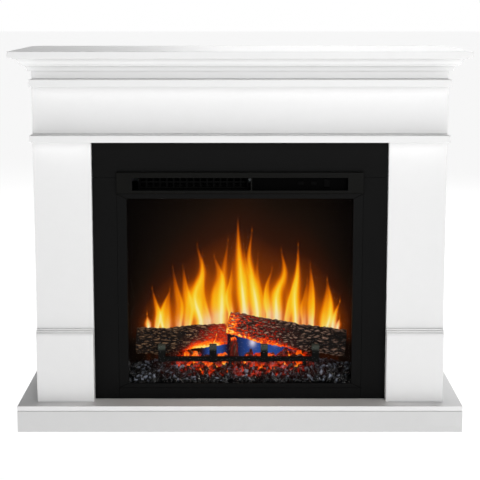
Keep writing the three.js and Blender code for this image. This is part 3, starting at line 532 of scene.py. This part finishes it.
# %% Tongues of flame, in millimetres on the screen
# Each has its middle line's place at the foot, a third, two thirds and the tip, the foot's and the
# tip's height, the half width, the heat, and the side that burns brightest.
TONGUES = [
    (-241, -242, -243, -244, 207, 240, 8, 0.95, 0),
    (-219, -214, -222, -230, 207, 308, 9, 0.95, 1),
    (-196, -198, -192, -183, 207, 306, 19, 1.0, -1),
    (-162, -158, -168, -176, 215, 365, 12, 0.62, 1),
    (-138, -134, -143, -149, 212, 368, 15, 0.85, 1),
    (-103, -118, -98, -112, 225, 424, 21, 0.95, 0),
    (-84, -100, -100, -97, 225, 400, 12, 0.6, 1),
    (-58, -58, -52, -67, 240, 394, 22, 0.98, 1),
    (-44, -46, -40, -31, 245, 437, 14, 0.55, 0),
    (-24, -30, -24, -20, 245, 372, 10, 0.8, -1),
    (12, 4, -3, -6, 246, 498, 17, 1.0, 0),
    (40, 28, 14, 10, 246, 420, 15, 0.6, 1),
    (46, 36, 24, 31, 246, 462, 15, 0.9, 0),
    (60, 52, 44, 47, 246, 400, 9, 0.45, 1),
    (75, 70, 72, 84, 244, 360, 10, 0.85, -1),
    (96, 96, 116, 108, 238, 410, 19, 0.95, 0),
    (124, 136, 148, 150, 230, 396, 11, 0.7, -1),
    (146, 144, 151, 152, 230, 425, 14, 0.92, 0),
    (168, 166, 172, 176, 226, 330, 9, 0.5, -1),
    (186, 187, 187, 183, 224, 373, 12, 0.88, 1),
    (222, 229, 231, 228, 210, 333, 20, 1.0, 1),
    (243, 246, 253, 262, 207, 275, 9, 0.95, 0),
    (256, 258, 260, 263, 205, 232, 6, 0.95, 0),
]
MM = 0.001


def bent_line(places, share):
    """A smooth curve through four evenly spaced places."""
    first, last = places[0], places[-1]
    run = np.array([2 * first - places[1], *places, 2 * last - places[-2]])
    step = np.clip(share, 0, 0.9999) * 3
    k = step.astype(int)
    f = step - k
    a, b, c, d = run[k], run[k + 1], run[k + 2], run[k + 3]
    return 0.5 * (2 * b + (c - a) * f + (2 * a - 5 * b + 4 * c - d) * f ** 2
                  + (3 * b - a - 3 * c + d) * f ** 3)


def flame_heat(x, z):
    """How hot and how blue the picture is at places on the screen, in millimetres."""
    cold = np.ones_like(x)
    halo = np.zeros_like(x)
    foot_light = np.zeros_like(x)
    streak = (0.5 + 0.25 * np.sin(x * 0.21 + 2.2 * np.sin(z * 0.018 + x * 0.011))
              + 0.25 * np.sin(x * 0.37 + 1.3 + 1.7 * np.sin(z * 0.026 - x * 0.017)))
    for *places, foot, tip, width, heat, side in TONGUES:
        tall = tip - foot
        share = (z - foot) / tall
        inside = np.clip(share, 0, 1)
        middle = bent_line(places, inside)
        belly = 0.36 + 0.66 * np.sin(np.pi * np.minimum(1, (inside + 0.12) ** 0.8))
        half = np.maximum(width * belly * (1 - inside) ** 0.35 + 0.8, 1.2)
        across = (x - middle) / half
        body = 1 - smooth_step(0.3, 1.2, np.abs(across))
        rim = np.exp(-((across - 0.6 * side) / 0.36) ** 2) * (1 - smooth_step(0.8, 1.1, np.abs(across)))
        fade = np.where(share > 1, np.exp(-(share - 1) * tall / 6 - across ** 2), (1 - inside) ** 0.5)
        value = heat * (0.66 * body + 0.52 * rim * (1 - 0.35 * inside)) * fade
        veil = (0.56 * heat * (1 - smooth_step(0, 1, np.abs(x - middle) / (1.6 * half + 0.55 * width)))
                * (1 - smooth_step(0.15, 0.95, inside)) * (0.55 + 0.45 * streak))
        cold *= (1 - np.clip(value, 0, 0.985)) * (1 - veil)
        halo += (heat * np.exp(-((x - middle) / (34 + 0.20 * tall)) ** 2)
                 * np.exp(-np.maximum(0, z - foot - 0.5 * tall) / (0.42 * tall + 14)))
        foot_light += heat * np.exp(-((x - places[0] - 0.2 * width) / (0.8 * width)) ** 2) \
            * np.exp(-np.maximum(0, z - foot) / 18)
    heat = 1 - cold * (1 - 0.46 * (1 - np.exp(-0.36 * halo)))
    feet = np.interp(x, [-300, -240, -160, -40, 10, 90, 200, 300],
                     [205, 207, 214, 236, 246, 242, 218, 200])
    heat = heat * (0.14 + 0.86 * smooth_step(-50, -14, z - feet))
    pale = np.clip(foot_light, 0, 1) * smooth_step(0.35, 0.9, heat) * smooth_step(55, 0, z - feet)
    pale = pale * (0.25 + 0.75 * (0.5 + 0.5 * np.sin(x * 0.075 + 1)))
    gas = (np.exp(-((x - 62) / 62) ** 4) + np.exp(-((x + 66) / 26) ** 4)) * smooth_step(215, 190, z)
    core = (np.exp(-((x - 33) / 8) ** 2 - ((z - 166) / 11) ** 2)
            + 0.8 * np.exp(-((x - 94) / 7) ** 2 - ((z - 166) / 8) ** 2)
            + 0.5 * np.exp(-((x + 60) / 14) ** 2 - ((z - 172) / 9) ** 2))
    return heat * (1 - gas), pale, gas, core * gas


# %% The screen
def flame_screen_finish():
    f = Finish("flame_screen", roughness=0.6, specular_ior_level=0.0,
               emission_strength=1.0, base_color=(0.002, 0.0015, 0.001, 1))
    heat = f.attribute("fire")
    fire = f.ramp(heat, (0, linear("020101")), (0.06, linear("140a05")), (0.16, linear("2e1105")),
                  (0.3, linear("6e2c03")), (0.46, linear("b85000")), (0.62, linear("e87c02")),
                  (0.75, linear("ffa408")), (0.86, linear("ffc61c")), (0.95, linear("ffdf48")),
                  (1, linear("fff2a0")))
    lit = f.blend(f.attribute("pale") * 0.5, fire, (0.85, 0.72, 0.70, 1))
    gassy = f.blend(f.attribute("gas"), lit, (0.022, 0.066, 0.28, 1))
    mesh_grain = f.grain(900, 2)
    f.set(emission_color=f.blend(f.attribute("core"), gassy, (0.75, 0.7, 0.85, 1)),
          normal=f.bump(mesh_grain, 0.0001, 0.3))
    return f.material


def closed_sheet(low, high, columns, rows):
    """A thin upright slab with a fine grid on its front, and its grid points as x and z."""
    x, z = np.meshgrid(np.linspace(low.x, high.x, columns), np.linspace(low.z, high.z, rows))
    front = np.stack([x, np.full_like(x, low.y), z], -1).reshape(-1, 3)
    corners = [0, columns - 1, rows * columns - 1, (rows - 1) * columns]
    back = front[corners] + np.array([0, high.y - low.y, 0])
    faces = [(r * columns + c, r * columns + c + 1, (r + 1) * columns + c + 1, (r + 1) * columns + c)
             for r in range(rows - 1) for c in range(columns - 1)]
    count = len(front)
    bottom = [c for c in range(columns)]
    top = [(rows - 1) * columns + c for c in range(columns)]
    left = [r * columns for r in range(rows)]
    right = [r * columns + columns - 1 for r in range(rows)]
    faces.append((count, count + 3, count + 2, count + 1))
    faces.append((*reversed(bottom), count, count + 1))
    faces.append((*top, count + 2, count + 3))
    faces.append((*left, count + 3, count))
    faces.append((*reversed(right), count + 1, count + 2))
    return np.vstack([front, back]), faces


low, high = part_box("flame_screen")
points, faces = closed_sheet(low, high, 302, 246)
heat, pale, gas, core = flame_heat(points[:, 0] / MM, points[:, 2] / MM)
make_piece("flame_picture", points, faces, flame_screen_finish(), "flame_screen", ["flame_screen"],
           smooth=False, fire=heat, pale=pale, gas=gas, core=core)

# %% [markdown]
# ## Logs
# The logs are moulded in resin from real wood: furrowed bark at the cold ends, and a charred skin with
# glowing cracks where they meet. A smooth tube with a bark bump would have a straight outline, which
# gives it away at once. So the furrows are real relief: a fine tube whose points are pushed in wherever
# they lie near the border between two stretched cells, and the same number then colours the furrow.


# %% Bark relief
def wander(point, seed, size):
    """Three smooth random numbers at a place, for bending a pattern."""
    return noise.noise_vector(point * size + Vector((seed, 2.7 * seed, -seed)))


def bark_ridge(place, seed, length, width):
    """1 on top of a ridge of bark and 0 in the furrow beside it: long plates, split again by
    fine wavy cracks that run along the log."""
    bent = place + wander(place, seed, 34) * 0.009
    cell = Vector((bent.x / length, bent.y / width, bent.z / width)) + Vector((seed, seed, seed))
    near = noise.voronoi(cell)[0]
    plate = min(1, max(0, (near[1] - near[0]) / 0.55))
    thread = abs(noise.noise(Vector((cell.x * 0.9, cell.y * 1.5, cell.z * 1.5)) + Vector((9, 0, 0))))
    split = min(1, thread / 0.16)
    return plate * (0.30 + 0.70 * split)


def log_piece(name, axis, radii, seed, relief, glow_at, slot, stands_for, material,
              rings=270, around=190, length=0.026, width=0.0062):
    """A log along a bent axis. glow_at says how hot a place is from its x, its depth under the axis
    from -1 on top to 1 underneath, and whether it lies in a furrow."""
    axis = [np.array(p) for p in axis]
    points, ridges, heats = [], [], []
    caps = [0.0, 0.3, 0.62, 0.86, 0.97]
    shares = [(0, k) for k in caps] + [(i / (rings - 1), 1) for i in range(rings)] \
        + [(1, k) for k in reversed(caps)]
    for share, cap in shares:
        step = min(share * (len(axis) - 1), len(axis) - 1.0001)
        k = int(step)
        f = step - k
        bend = f * f * (3 - 2 * f)
        centre = axis[k] + (axis[k + 1] - axis[k]) * f
        centre[2] += (axis[k + 1][2] - axis[k][2]) * (bend - f) * 0.5
        along = (axis[min(k + 1, len(axis) - 1)] - axis[k])
        along = along / np.linalg.norm(along)
        side = np.cross([0, 1, 0], along) if abs(along[1]) < 0.9 else np.array([1.0, 0, 0])
        side = side / np.linalg.norm(side)
        up = np.cross(along, side)
        radius = np.interp(step, range(len(radii)), radii)
        for j in range(around):
            angle = 2 * math.pi * j / around
            ray = side * math.cos(angle) + up * math.sin(angle)
            place = Vector(centre + ray * radius)
            ridge = bark_ridge(place, seed, length, width)
            swell = noise.noise(place * 22 + Vector((seed, 0, 0)))
            rough = noise.noise(place * 420)
            lift = relief * (ridge - 1) + 0.0022 * swell + 0.0005 * rough
            end = (1 - cap) ** 0.7 * 0.004 * (-1 if share < 0.5 else 1)
            spot = centre + ray * (radius * 0.955 + lift) * cap
            if cap < 1:
                spot = spot + along * (end * 0.4 + 0.0016 * noise.noise(place * 160 * max(cap, 0.2)))
            points.append(spot)
            ridges.append(ridge if cap == 1 else 0.25 + 0.5 * noise.noise(place * 300 * cap))
            down = -(spot[2] - centre[2]) / radius
            heats.append(glow_at(spot[0] / MM, down, ridge, noise.noise(place * 55),
                                 noise.noise(place * 190), share))
    faces = [(r * around + j, r * around + (j + 1) % around,
              (r + 1) * around + (j + 1) % around, (r + 1) * around + j)
             for r in range(len(shares) - 1) for j in range(around)]
    mesh_points = np.array(points)
    piece = make_piece(name, mesh_points, faces, material, slot, stands_for,
                       ridge=ridges, glow=heats)
    tidy = bmesh.new()
    tidy.from_mesh(piece.data)
    bmesh.ops.remove_doubles(tidy, verts=tidy.verts, dist=0.00002)
    bmesh.ops.recalc_face_normals(tidy, faces=tidy.faces)
    tidy.to_mesh(piece.data)
    tidy.free()
    return piece


# %% Bark and char finishes
EMBER_STOPS = [(0, linear("000000")), (0.18, linear("2a0400")), (0.36, linear("8c1400")),
               (0.55, linear("e03604")), (0.72, linear("ff6c0c")), (0.86, linear("ffa41c")),
               (1, linear("ffdf70"))]


def burning_wood(name, furrow, flank, crest, ash):
    f = Finish(name, emission_strength=1.15, specular_ior_level=0.3)
    ridge = f.attribute("ridge")
    fleck = f.grain(520, 4, 0.7)
    patch = f.grain(34, 3, 0.6)
    wood = f.ramp(ridge * 0.72 + fleck * 0.28, (0.12, linear(furrow)), (0.42, linear(flank)),
                  (0.8, linear(crest)), (1, linear(ash)))
    tinted = f.blend(patch * 0.5, wood, (*linear(furrow), 1))
    heat = f.attribute("glow") * (0.72 + 0.5 * fleck)
    f.set(base_color=f.blend(f.clamp(heat, 0.15, 0.7), tinted, (0.02, 0.004, 0.001, 1)),
          roughness=0.7 + 0.25 * fleck,
          emission_color=f.ramp(heat, *EMBER_STOPS),
          normal=f.bump(fleck + 0.5 * ridge, 0.0011, 0.9))
    return f.material


# %% The two logs and the stump
def step(low, high, value):
    share = min(1, max(0, (value - low) / (high - low)))
    return share * share * (3 - 2 * share)


def left_log_heat(x, down, ridge, drift, fine, share):
    spread = step(0, 1, (x + 168) / 105 + 0.38 * down + 0.22 * drift)
    under = step(0.05, 0.9, down + 0.12 * drift) * step(-160, -105, x) * step(-36, -62, x)
    skin = spread * (0.34 + 0.12 * max(0, down) + 0.16 * fine + 0.14 * (1 - ridge) - 0.1 * ridge)
    return min(1, skin + 0.66 * under)


def right_log_heat(x, down, ridge, drift, fine, share):
    reach = step(175, 30, x + 50 * drift - 20 * down)
    crack = (1 - ridge) ** 2.2 * reach * (0.46 + 0.6 * fine + 0.2 * drift)
    edge = step(0.2, 0.85, down + 0.15 * drift) * step(170, 95, x + 25 * drift)
    end = step(6, -20, x) * (1 - ridge) * 0.5
    return min(1, max(0, crack) + edge * (0.62 + 0.3 * fine) + end)


def stump_heat(x, down, ridge, drift, fine, share):
    top = step(0.78, 1.0, share + 0.1 * drift) * (0.5 + 0.4 * fine)
    return min(1, top + 0.30 * (1 - ridge) ** 2)


def span(near, far, share):
    return near + (far - near) * share


left_low, left_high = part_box("log_left")
right_low, right_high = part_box("log_right")
LOG_INSET = 0.001
left_y = (left_low.y + left_high.y) / 2
right_y = (right_low.y + right_high.y) / 2
left_axis = [(span(left_low.x + LOG_INSET, left_high.x - LOG_INSET, s), left_y, z)
             for s, z in zip((0, 1 / 3, 2 / 3, 1), (0.188, 0.187, 0.199, 0.206))]
right_axis = [(span(right_low.x + LOG_INSET, right_high.x - LOG_INSET, s), right_y, z)
              for s, z in zip((0, 1 / 3, 2 / 3, 1), (0.238, 0.214, 0.196, 0.184))]
BARK = burning_wood("bark", "020101", "2c1c12", "b48a66", "f0c8a0")
CHAR = burning_wood("charred_wood", "020101", "2a1c16", "b48e78", "f4d2bc")
log_piece("log_left_bark", left_axis, [0.036, 0.037, 0.033, 0.029], 3.1, 0.0044, left_log_heat,
          "log_bark", ["log_left"], BARK, length=0.022, width=0.0050)
log_piece("log_right_bark", right_axis, [0.031, 0.036, 0.037, 0.037], 7.4, 0.0052, right_log_heat,
          "log_bark", ["log_right"], CHAR, length=0.020, width=0.0060)

stump_low, stump_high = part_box("log_stump")
stump_x = (stump_low.x + stump_high.x) / 2
stump_y = (stump_low.y + stump_high.y) / 2
STUMP = burning_wood("stump_char", "080505", "3a241c", "6a4a3c", "84604e")
log_piece("stump_char", [(stump_x + 0.002, stump_y, stump_low.z + 0.001),
                         (stump_x - 0.002, stump_y, stump_high.z - 0.001)],
          [0.0176, 0.0080], 5.2, 0.0034, stump_heat, "charred_log", ["log_stump"], STUMP,
          rings=70, around=80, length=0.006, width=0.03)


# %% [markdown]
# One loose splinter leans on the left log and burns pale. It is a thin bent wedge, so that it ends in a
# point at the top.


# %% Splinter
def splinter(name, foot, tip, thick):
    foot, tip = Vector(foot), Vector(tip)
    points, faces = [], []
    turns, sides = 9, 6
    for i in range(turns):
        share = i / (turns - 1)
        centre = foot.lerp(tip, share) + Vector((0.0016 * math.sin(share * 4), 0, 0))
        reach = thick * (0.35 + 0.9 * math.sin(math.pi * min(1, 0.25 + 0.75 * share)))
        for j in range(sides):
            angle = 2 * math.pi * j / sides
            points.append(centre + Vector((reach * math.cos(angle), 0.7 * reach * math.sin(angle), 0)))
    faces = [(i * sides + j, i * sides + (j + 1) % sides, (i + 1) * sides + (j + 1) % sides,
              (i + 1) * sides + j) for i in range(turns - 1) for j in range(sides)]
    faces += [tuple(reversed(range(sides))), tuple(range((turns - 1) * sides, turns * sides))]
    heat = [0.78 + 0.2 * math.sin(3 * p.z / 0.01) for p in points]
    ridge = [0.8] * len(points)
    return make_piece(name, points, faces, BARK, "log_bark", glow=heat, ridge=ridge)


splinter("burning_splinter", (-0.070, left_y - 0.0335, 0.187), (-0.058, left_y - 0.0335, 0.216), 0.0012)

# %% [markdown]
# ## The ember bed
# The real bed is a heap of broken resin coals over a lit tray. One bumpy sheet would look like carpet.
# Here a glowing mound lies underneath, and hundreds of small angular lumps lie on it, each a twisted
# twelve-cornered solid. Lumps over the lit part glow from below and those at the edges stay black.


# %% Where the bed is hot
bed_low, bed_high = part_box("ember_bed")
BED_FRONT_Z = bed_low.z + 0.011


def bed_top(x, y):
    """The mound's height: it rises from the glass to a ridge, and sinks a little behind it."""
    rise = float(np.interp(y, [bed_low.y, -0.112, -0.088, -0.055, -0.02, bed_high.y],
                           [BED_FRONT_Z - 0.003, 0.104, 0.121, 0.133, 0.130, 0.122]))
    side = 1 - 0.25 * step(0.19, 0.29, abs(x))
    lump = 0.0035 * noise.noise(Vector((x * 60, y * 60, 4.2)))
    return bed_low.z + (rise - bed_low.z) * side + lump


def bed_heat(x, y, z):
    """How hot the coals are at a place."""
    across = math.exp(-((x - 0.006) / 0.175) ** 4)
    back = step(-0.108, -0.082, y)
    patch = 0.5 + 0.5 * noise.noise(Vector((x * 24, y * 30, z * 24 + 9)))
    return across * back * (0.35 + 0.65 * patch)


# %% Coal finish
def coal(name, dark, pale, edge):
    f = Finish(name, emission_strength=1.0, specular_ior_level=0.5)
    vein = f.cells(160, "DISTANCE_TO_EDGE")
    dust = f.grain(260, 4, 0.7)
    fleck = f.grain(900, 3, 0.6)
    heat = f.attribute("glow") * (0.55 + 0.8 * dust)
    black = f.ramp(dust * 0.7 + fleck * 0.3, (0.4, linear(dark)), (0.7, linear(pale)))
    # The number read here lightens the top corners of some lumps towards the last colour: a painted
    # highlight.
    f.set(base_color=f.blend(f.clamp(f.attribute("worn"), 0.25, 0.9) * (0.5 + fleck), black,
                             (*linear(edge), 1)),
          roughness=0.12 + 0.34 * dust,
          emission_color=f.ramp(heat, *EMBER_STOPS),
          normal=f.bump(vein + dust, 0.0012, 0.8))
    return f.material


# The last colour is the painted highlight on the lumps' top corners.
COAL = coal("coal", "010101", "060709", "868e9e")

# %% The glowing mound
COLUMNS, ROWS = 220, 70
mound_points, mound_glow = [], []
for r in range(ROWS):
    y = span(bed_low.y + 0.0005, bed_high.y - 0.0005, r / (ROWS - 1))
    for c in range(COLUMNS):
        x = span(bed_low.x + 0.0005, bed_high.x - 0.0005, c / (COLUMNS - 1))
        z = bed_top(x, y)
        mound_points.append((x, y, z))
        mound_glow.append(bed_heat(x, y, z) * 1.05)
mound_faces = [(r * COLUMNS + c, r * COLUMNS + c + 1, (r + 1) * COLUMNS + c + 1, (r + 1) * COLUMNS + c)
               for r in range(ROWS - 1) for c in range(COLUMNS - 1)]
rim = [c for c in range(COLUMNS)] + [r * COLUMNS + COLUMNS - 1 for r in range(1, ROWS)] \
    + [(ROWS - 1) * COLUMNS + c for c in range(COLUMNS - 2, -1, -1)] \
    + [r * COLUMNS for r in range(ROWS - 2, 0, -1)]
base = len(mound_points)
for i in rim:
    x, y, _ = mound_points[i]
    mound_points.append((x, y, bed_low.z))
    mound_glow.append(0)
for i in range(len(rim)):
    after = (i + 1) % len(rim)
    mound_faces.append((rim[i], base + i, base + after, rim[after]))
mound_faces.append(tuple(base + i for i in reversed(range(len(rim)))))
make_piece("ember_mound", mound_points, mound_faces, COAL, "coal", ["ember_bed"],
           glow=mound_glow, worn=[0] * len(mound_points))

# %% The lumps
GOLDEN = (1 + math.sqrt(5)) / 2
CORNERS = np.array([(-1, GOLDEN, 0), (1, GOLDEN, 0), (-1, -GOLDEN, 0), (1, -GOLDEN, 0),
                    (0, -1, GOLDEN), (0, 1, GOLDEN), (0, -1, -GOLDEN), (0, 1, -GOLDEN),
                    (GOLDEN, 0, -1), (GOLDEN, 0, 1), (-GOLDEN, 0, -1), (-GOLDEN, 0, 1)]) / 1.9
FACETS = [(0, 11, 5), (0, 5, 1), (0, 1, 7), (0, 7, 10), (0, 10, 11), (1, 5, 9), (5, 11, 4),
          (11, 10, 2), (10, 7, 6), (7, 1, 8), (3, 9, 4), (3, 4, 2), (3, 2, 6), (3, 6, 8),
          (3, 8, 9), (4, 9, 5), (2, 4, 11), (6, 2, 10), (8, 6, 7), (9, 8, 1)]
dice = random.Random(41)


def lump(centre, size, stretch, upright):
    """The twelve corners of one broken coal."""
    turn = Matrix.Rotation(dice.uniform(0, 2 * math.pi), 3, "Z")
    lean = Matrix.Rotation(dice.uniform(-upright, upright), 3, "X") \
        @ Matrix.Rotation(dice.uniform(-upright, upright), 3, "Y")
    shape = []
    for corner in CORNERS:
        knock = 1 + dice.uniform(-0.32, 0.28)
        p = Vector(corner) * knock * size
        p = Vector((p.x * dice.uniform(0.9, 1.1), p.y * 0.62, p.z * stretch))
        shape.append(centre + lean @ (turn @ p))
    return shape


def heap(name, count, place_of, size_of, stretch_of, upright, heat_of, material):
    points, faces, glow, worn = [], [], [], []
    for _ in range(count):
        centre = place_of()
        size = size_of(centre)
        first = len(points)
        lit = dice.random()
        # How strongly this lump gets the painted highlight on its top corners.
        highlit = step(0.45, 0.95, dice.random())
        for p in lump(centre, size, stretch_of(), upright):
            points.append(p)
            glow.append(heat_of(p, centre, size, lit))
            worn.append(highlit * step(0.35, 1.0, (p.z - centre.z) / size) * step(-0.6, 0.8, dice.random()))
        faces += [tuple(first + i for i in facet) for facet in FACETS]
    return make_piece(name, points, faces, material, "coal", smooth=False, glow=glow, worn=worn)


def front_place():
    x = dice.uniform(bed_low.x + 0.009, bed_high.x - 0.009)
    y = span(bed_low.y + 0.008, -0.03, dice.random() ** 1.25)
    return Vector((x, y, bed_top(x, y) + 0.0015))


def front_heat(p, centre, size, lit):
    hot = bed_heat(centre.x, centre.y + 0.004, centre.z)
    low_side = step(0.004, -0.006, p.z - centre.z)
    own = step(0.66, 0.96, lit)
    return min(1, hot * (0.14 + 0.46 * low_side + 0.58 * own))


heap("coal_lumps", 1500, front_place, lambda c: dice.uniform(0.0036, 0.0088),
     lambda: dice.uniform(1.1, 2.5), 0.8, front_heat, COAL)


# %% [markdown]
# Behind the grate's bar lie larger lumps that are lit through. They are built the same way, but bigger
# and hotter.


# %% Bright lumps under the logs
# Its last colour is the painted highlight, in a warm tint.
GLOWING = coal("glowing_coal", "0c0605", "3a1c14", "8a5040")


HEAPS = [(-0.165, 0.030, 0.030), (-0.125, 0.030, 0.036), (-0.085, 0.022, 0.020), (-0.052, 0.020, 0.028),
         (0.024, 0.016, 0.028), (0.046, 0.016, 0.020), (0.082, 0.018, 0.024), (0.115, 0.030, 0.036),
         (0.150, 0.030, 0.034), (0.178, 0.020, 0.020)]


def under_log_place():
    middle, reach, height = dice.choice(HEAPS)
    x = dice.gauss(middle, reach * 0.5)
    y = dice.uniform(-0.072, -0.035)
    over = height * math.exp(-((x - middle) / reach) ** 2)
    return Vector((x, y, bed_top(x, y) + dice.uniform(0.0, 1.0) * over))


def under_log_heat(p, centre, size, lit):
    edge = step(0.21, 0.13, abs(centre.x - 0.005))
    low_side = step(0.7, -0.7, (p.z - centre.z) / size)
    return min(1, edge * (0.16 + 0.36 * low_side + 0.55 * step(0.35, 1, lit)))


heap("glowing_lumps", 520, under_log_place, lambda c: dice.uniform(0.006, 0.0115),
     lambda: dice.uniform(0.8, 1.35), 0.7, under_log_heat, GLOWING)

# %% [markdown]
# ## Flanges behind the seam
# Where the surround's side sheets meet its top sheet, each is folded back. Without the folds the seam
# would be an open slit, and light from behind would shine through it.


# %% Seam flanges
def folded_strip(name, x_span, y_span, z_span, fold):
    """A strip of sheet with a return fold along its lower edge, as one closed outline."""
    (x0, x1), (y0, y1), (z0, z1) = x_span, y_span, z_span
    outline = [(y0, z0), (y0 + fold, z0), (y0 + fold, z0 + (y1 - y0)), (y1, z0 + (y1 - y0)),
               (y1, z1), (y0, z1)]
    points = [(x, y, z) for x in (x0, x1) for y, z in outline]
    count = len(outline)
    faces = [tuple(range(count)), tuple(range(2 * count - 1, count - 1, -1))]
    faces += [(i, i + count, (i + 1) % count + count, (i + 1) % count) for i in range(count)]
    piece = make_piece(name, points, faces, BLACK, "black_steel", smooth=False)
    soften(piece, 0.0002)
    return piece


for side in ("left", "right"):
    sheet_low, sheet_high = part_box(f"surround_{side}")
    behind = sheet_high.y + 0.0004
    outer, inner = (0.003, 0) if side == "left" else (0, 0.003)
    folded_strip(f"seam_flange_{side}", (sheet_low.x + outer, sheet_high.x - inner),
                 (behind, behind + 0.0012), (sheet_high.z - 0.012, sheet_high.z + 0.012), 0.009)

# %% [markdown]
# ## Filter behind the air intake
# A pad of black open foam lies inside the rear sheet, behind the intake slots. It keeps dust out of the
# fan and stops daylight from showing through the insert. Its faces are dimpled like real cut foam.


# %% Foam pad
def foam():
    f = Finish("filter_foam", specular_ior_level=0.1)
    pores = f.cells(420)
    cloud = f.grain(40, 3)
    f.set(base_color=f.blend(pores * 60 * 0.01 + cloud * 0.3, grey(0.003), grey(0.016)),
          roughness=0.85 + 0.1 * cloud, normal=f.bump(pores, 0.0008, 0.9))
    return f.material


def dimpled_pad(name, low, high, columns, rows, dimple):
    """A pad whose two broad faces are dimpled, closed round its edge."""
    points = []
    for y, inward in ((low.y, 1), (high.y, -1)):
        for r in range(rows):
            for c in range(columns):
                x = span(low.x, high.x, c / (columns - 1))
                z = span(low.z, high.z, r / (rows - 1))
                rim = c in (0, columns - 1) or r in (0, rows - 1)
                hollow = 0 if rim else dimple * (0.5 + 0.5 * noise.noise(Vector((x * 300, y, z * 300))))
                points.append((x, y + inward * hollow, z))
    count = columns * rows
    faces = []
    for r in range(rows - 1):
        for c in range(columns - 1):
            i = r * columns + c
            faces.append((i, i + 1, i + columns + 1, i + columns))
            faces.append(tuple(count + k for k in (i + columns, i + columns + 1, i + 1, i)))
    loop = [c for c in range(columns)] + [r * columns + columns - 1 for r in range(1, rows)] \
        + [(rows - 1) * columns + c for c in range(columns - 2, -1, -1)] \
        + [r * columns for r in range(rows - 2, 0, -1)]
    faces += [(loop[i], loop[i] + count, loop[(i + 1) % len(loop)] + count, loop[(i + 1) % len(loop)])
              for i in range(len(loop))]
    return make_piece(name, points, faces, foam(), "black_plastic", smooth=False)


sheet_low, sheet_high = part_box("chassis_back")
dimpled_pad("intake_filter", Vector((-0.205, sheet_low.y - 0.0075, sheet_high.z - 0.082)),
            Vector((0.205, sheet_low.y - 0.0010, sheet_high.z - 0.014)), 120, 24, 0.0012)

# %% [markdown]
# ## The floor
# The floor is a wide pale sheet. It is staged, so it isn't part of the object.


# %% Floor
def pale_floor():
    f = Finish("pale_floor", emission_color=(1, 1, 1, 1), emission_strength=0.87,
               specular_ior_level=0.1)
    mottle = f.grain(5, 3)
    f.set(base_color=f.blend(mottle, grey(0.50), grey(0.54)), roughness=0.8 + 0.1 * mottle)
    return f.material


floor_mesh = bpy.data.meshes.new("floor")
REACH = 40
floor_mesh.from_pydata([(-REACH, -REACH, 0), (REACH, -REACH, 0), (REACH, REACH, 0), (-REACH, REACH, 0)],
                       [], [(0, 1, 2, 3)])
floor_mesh.materials.append(pale_floor())
floor = bpy.data.objects.new("floor", floor_mesh)
floor.location.z = -0.0005
scene.collection.objects.link(floor)
floor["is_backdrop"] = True

# %% [markdown]
# ## Size
# The visual model has to keep the maker's size. Both boxes are printed so that they can be compared.

# %% Print the visual box
low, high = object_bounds()
print("visual box:", [round(v, 4) for v in (*low, *high)])
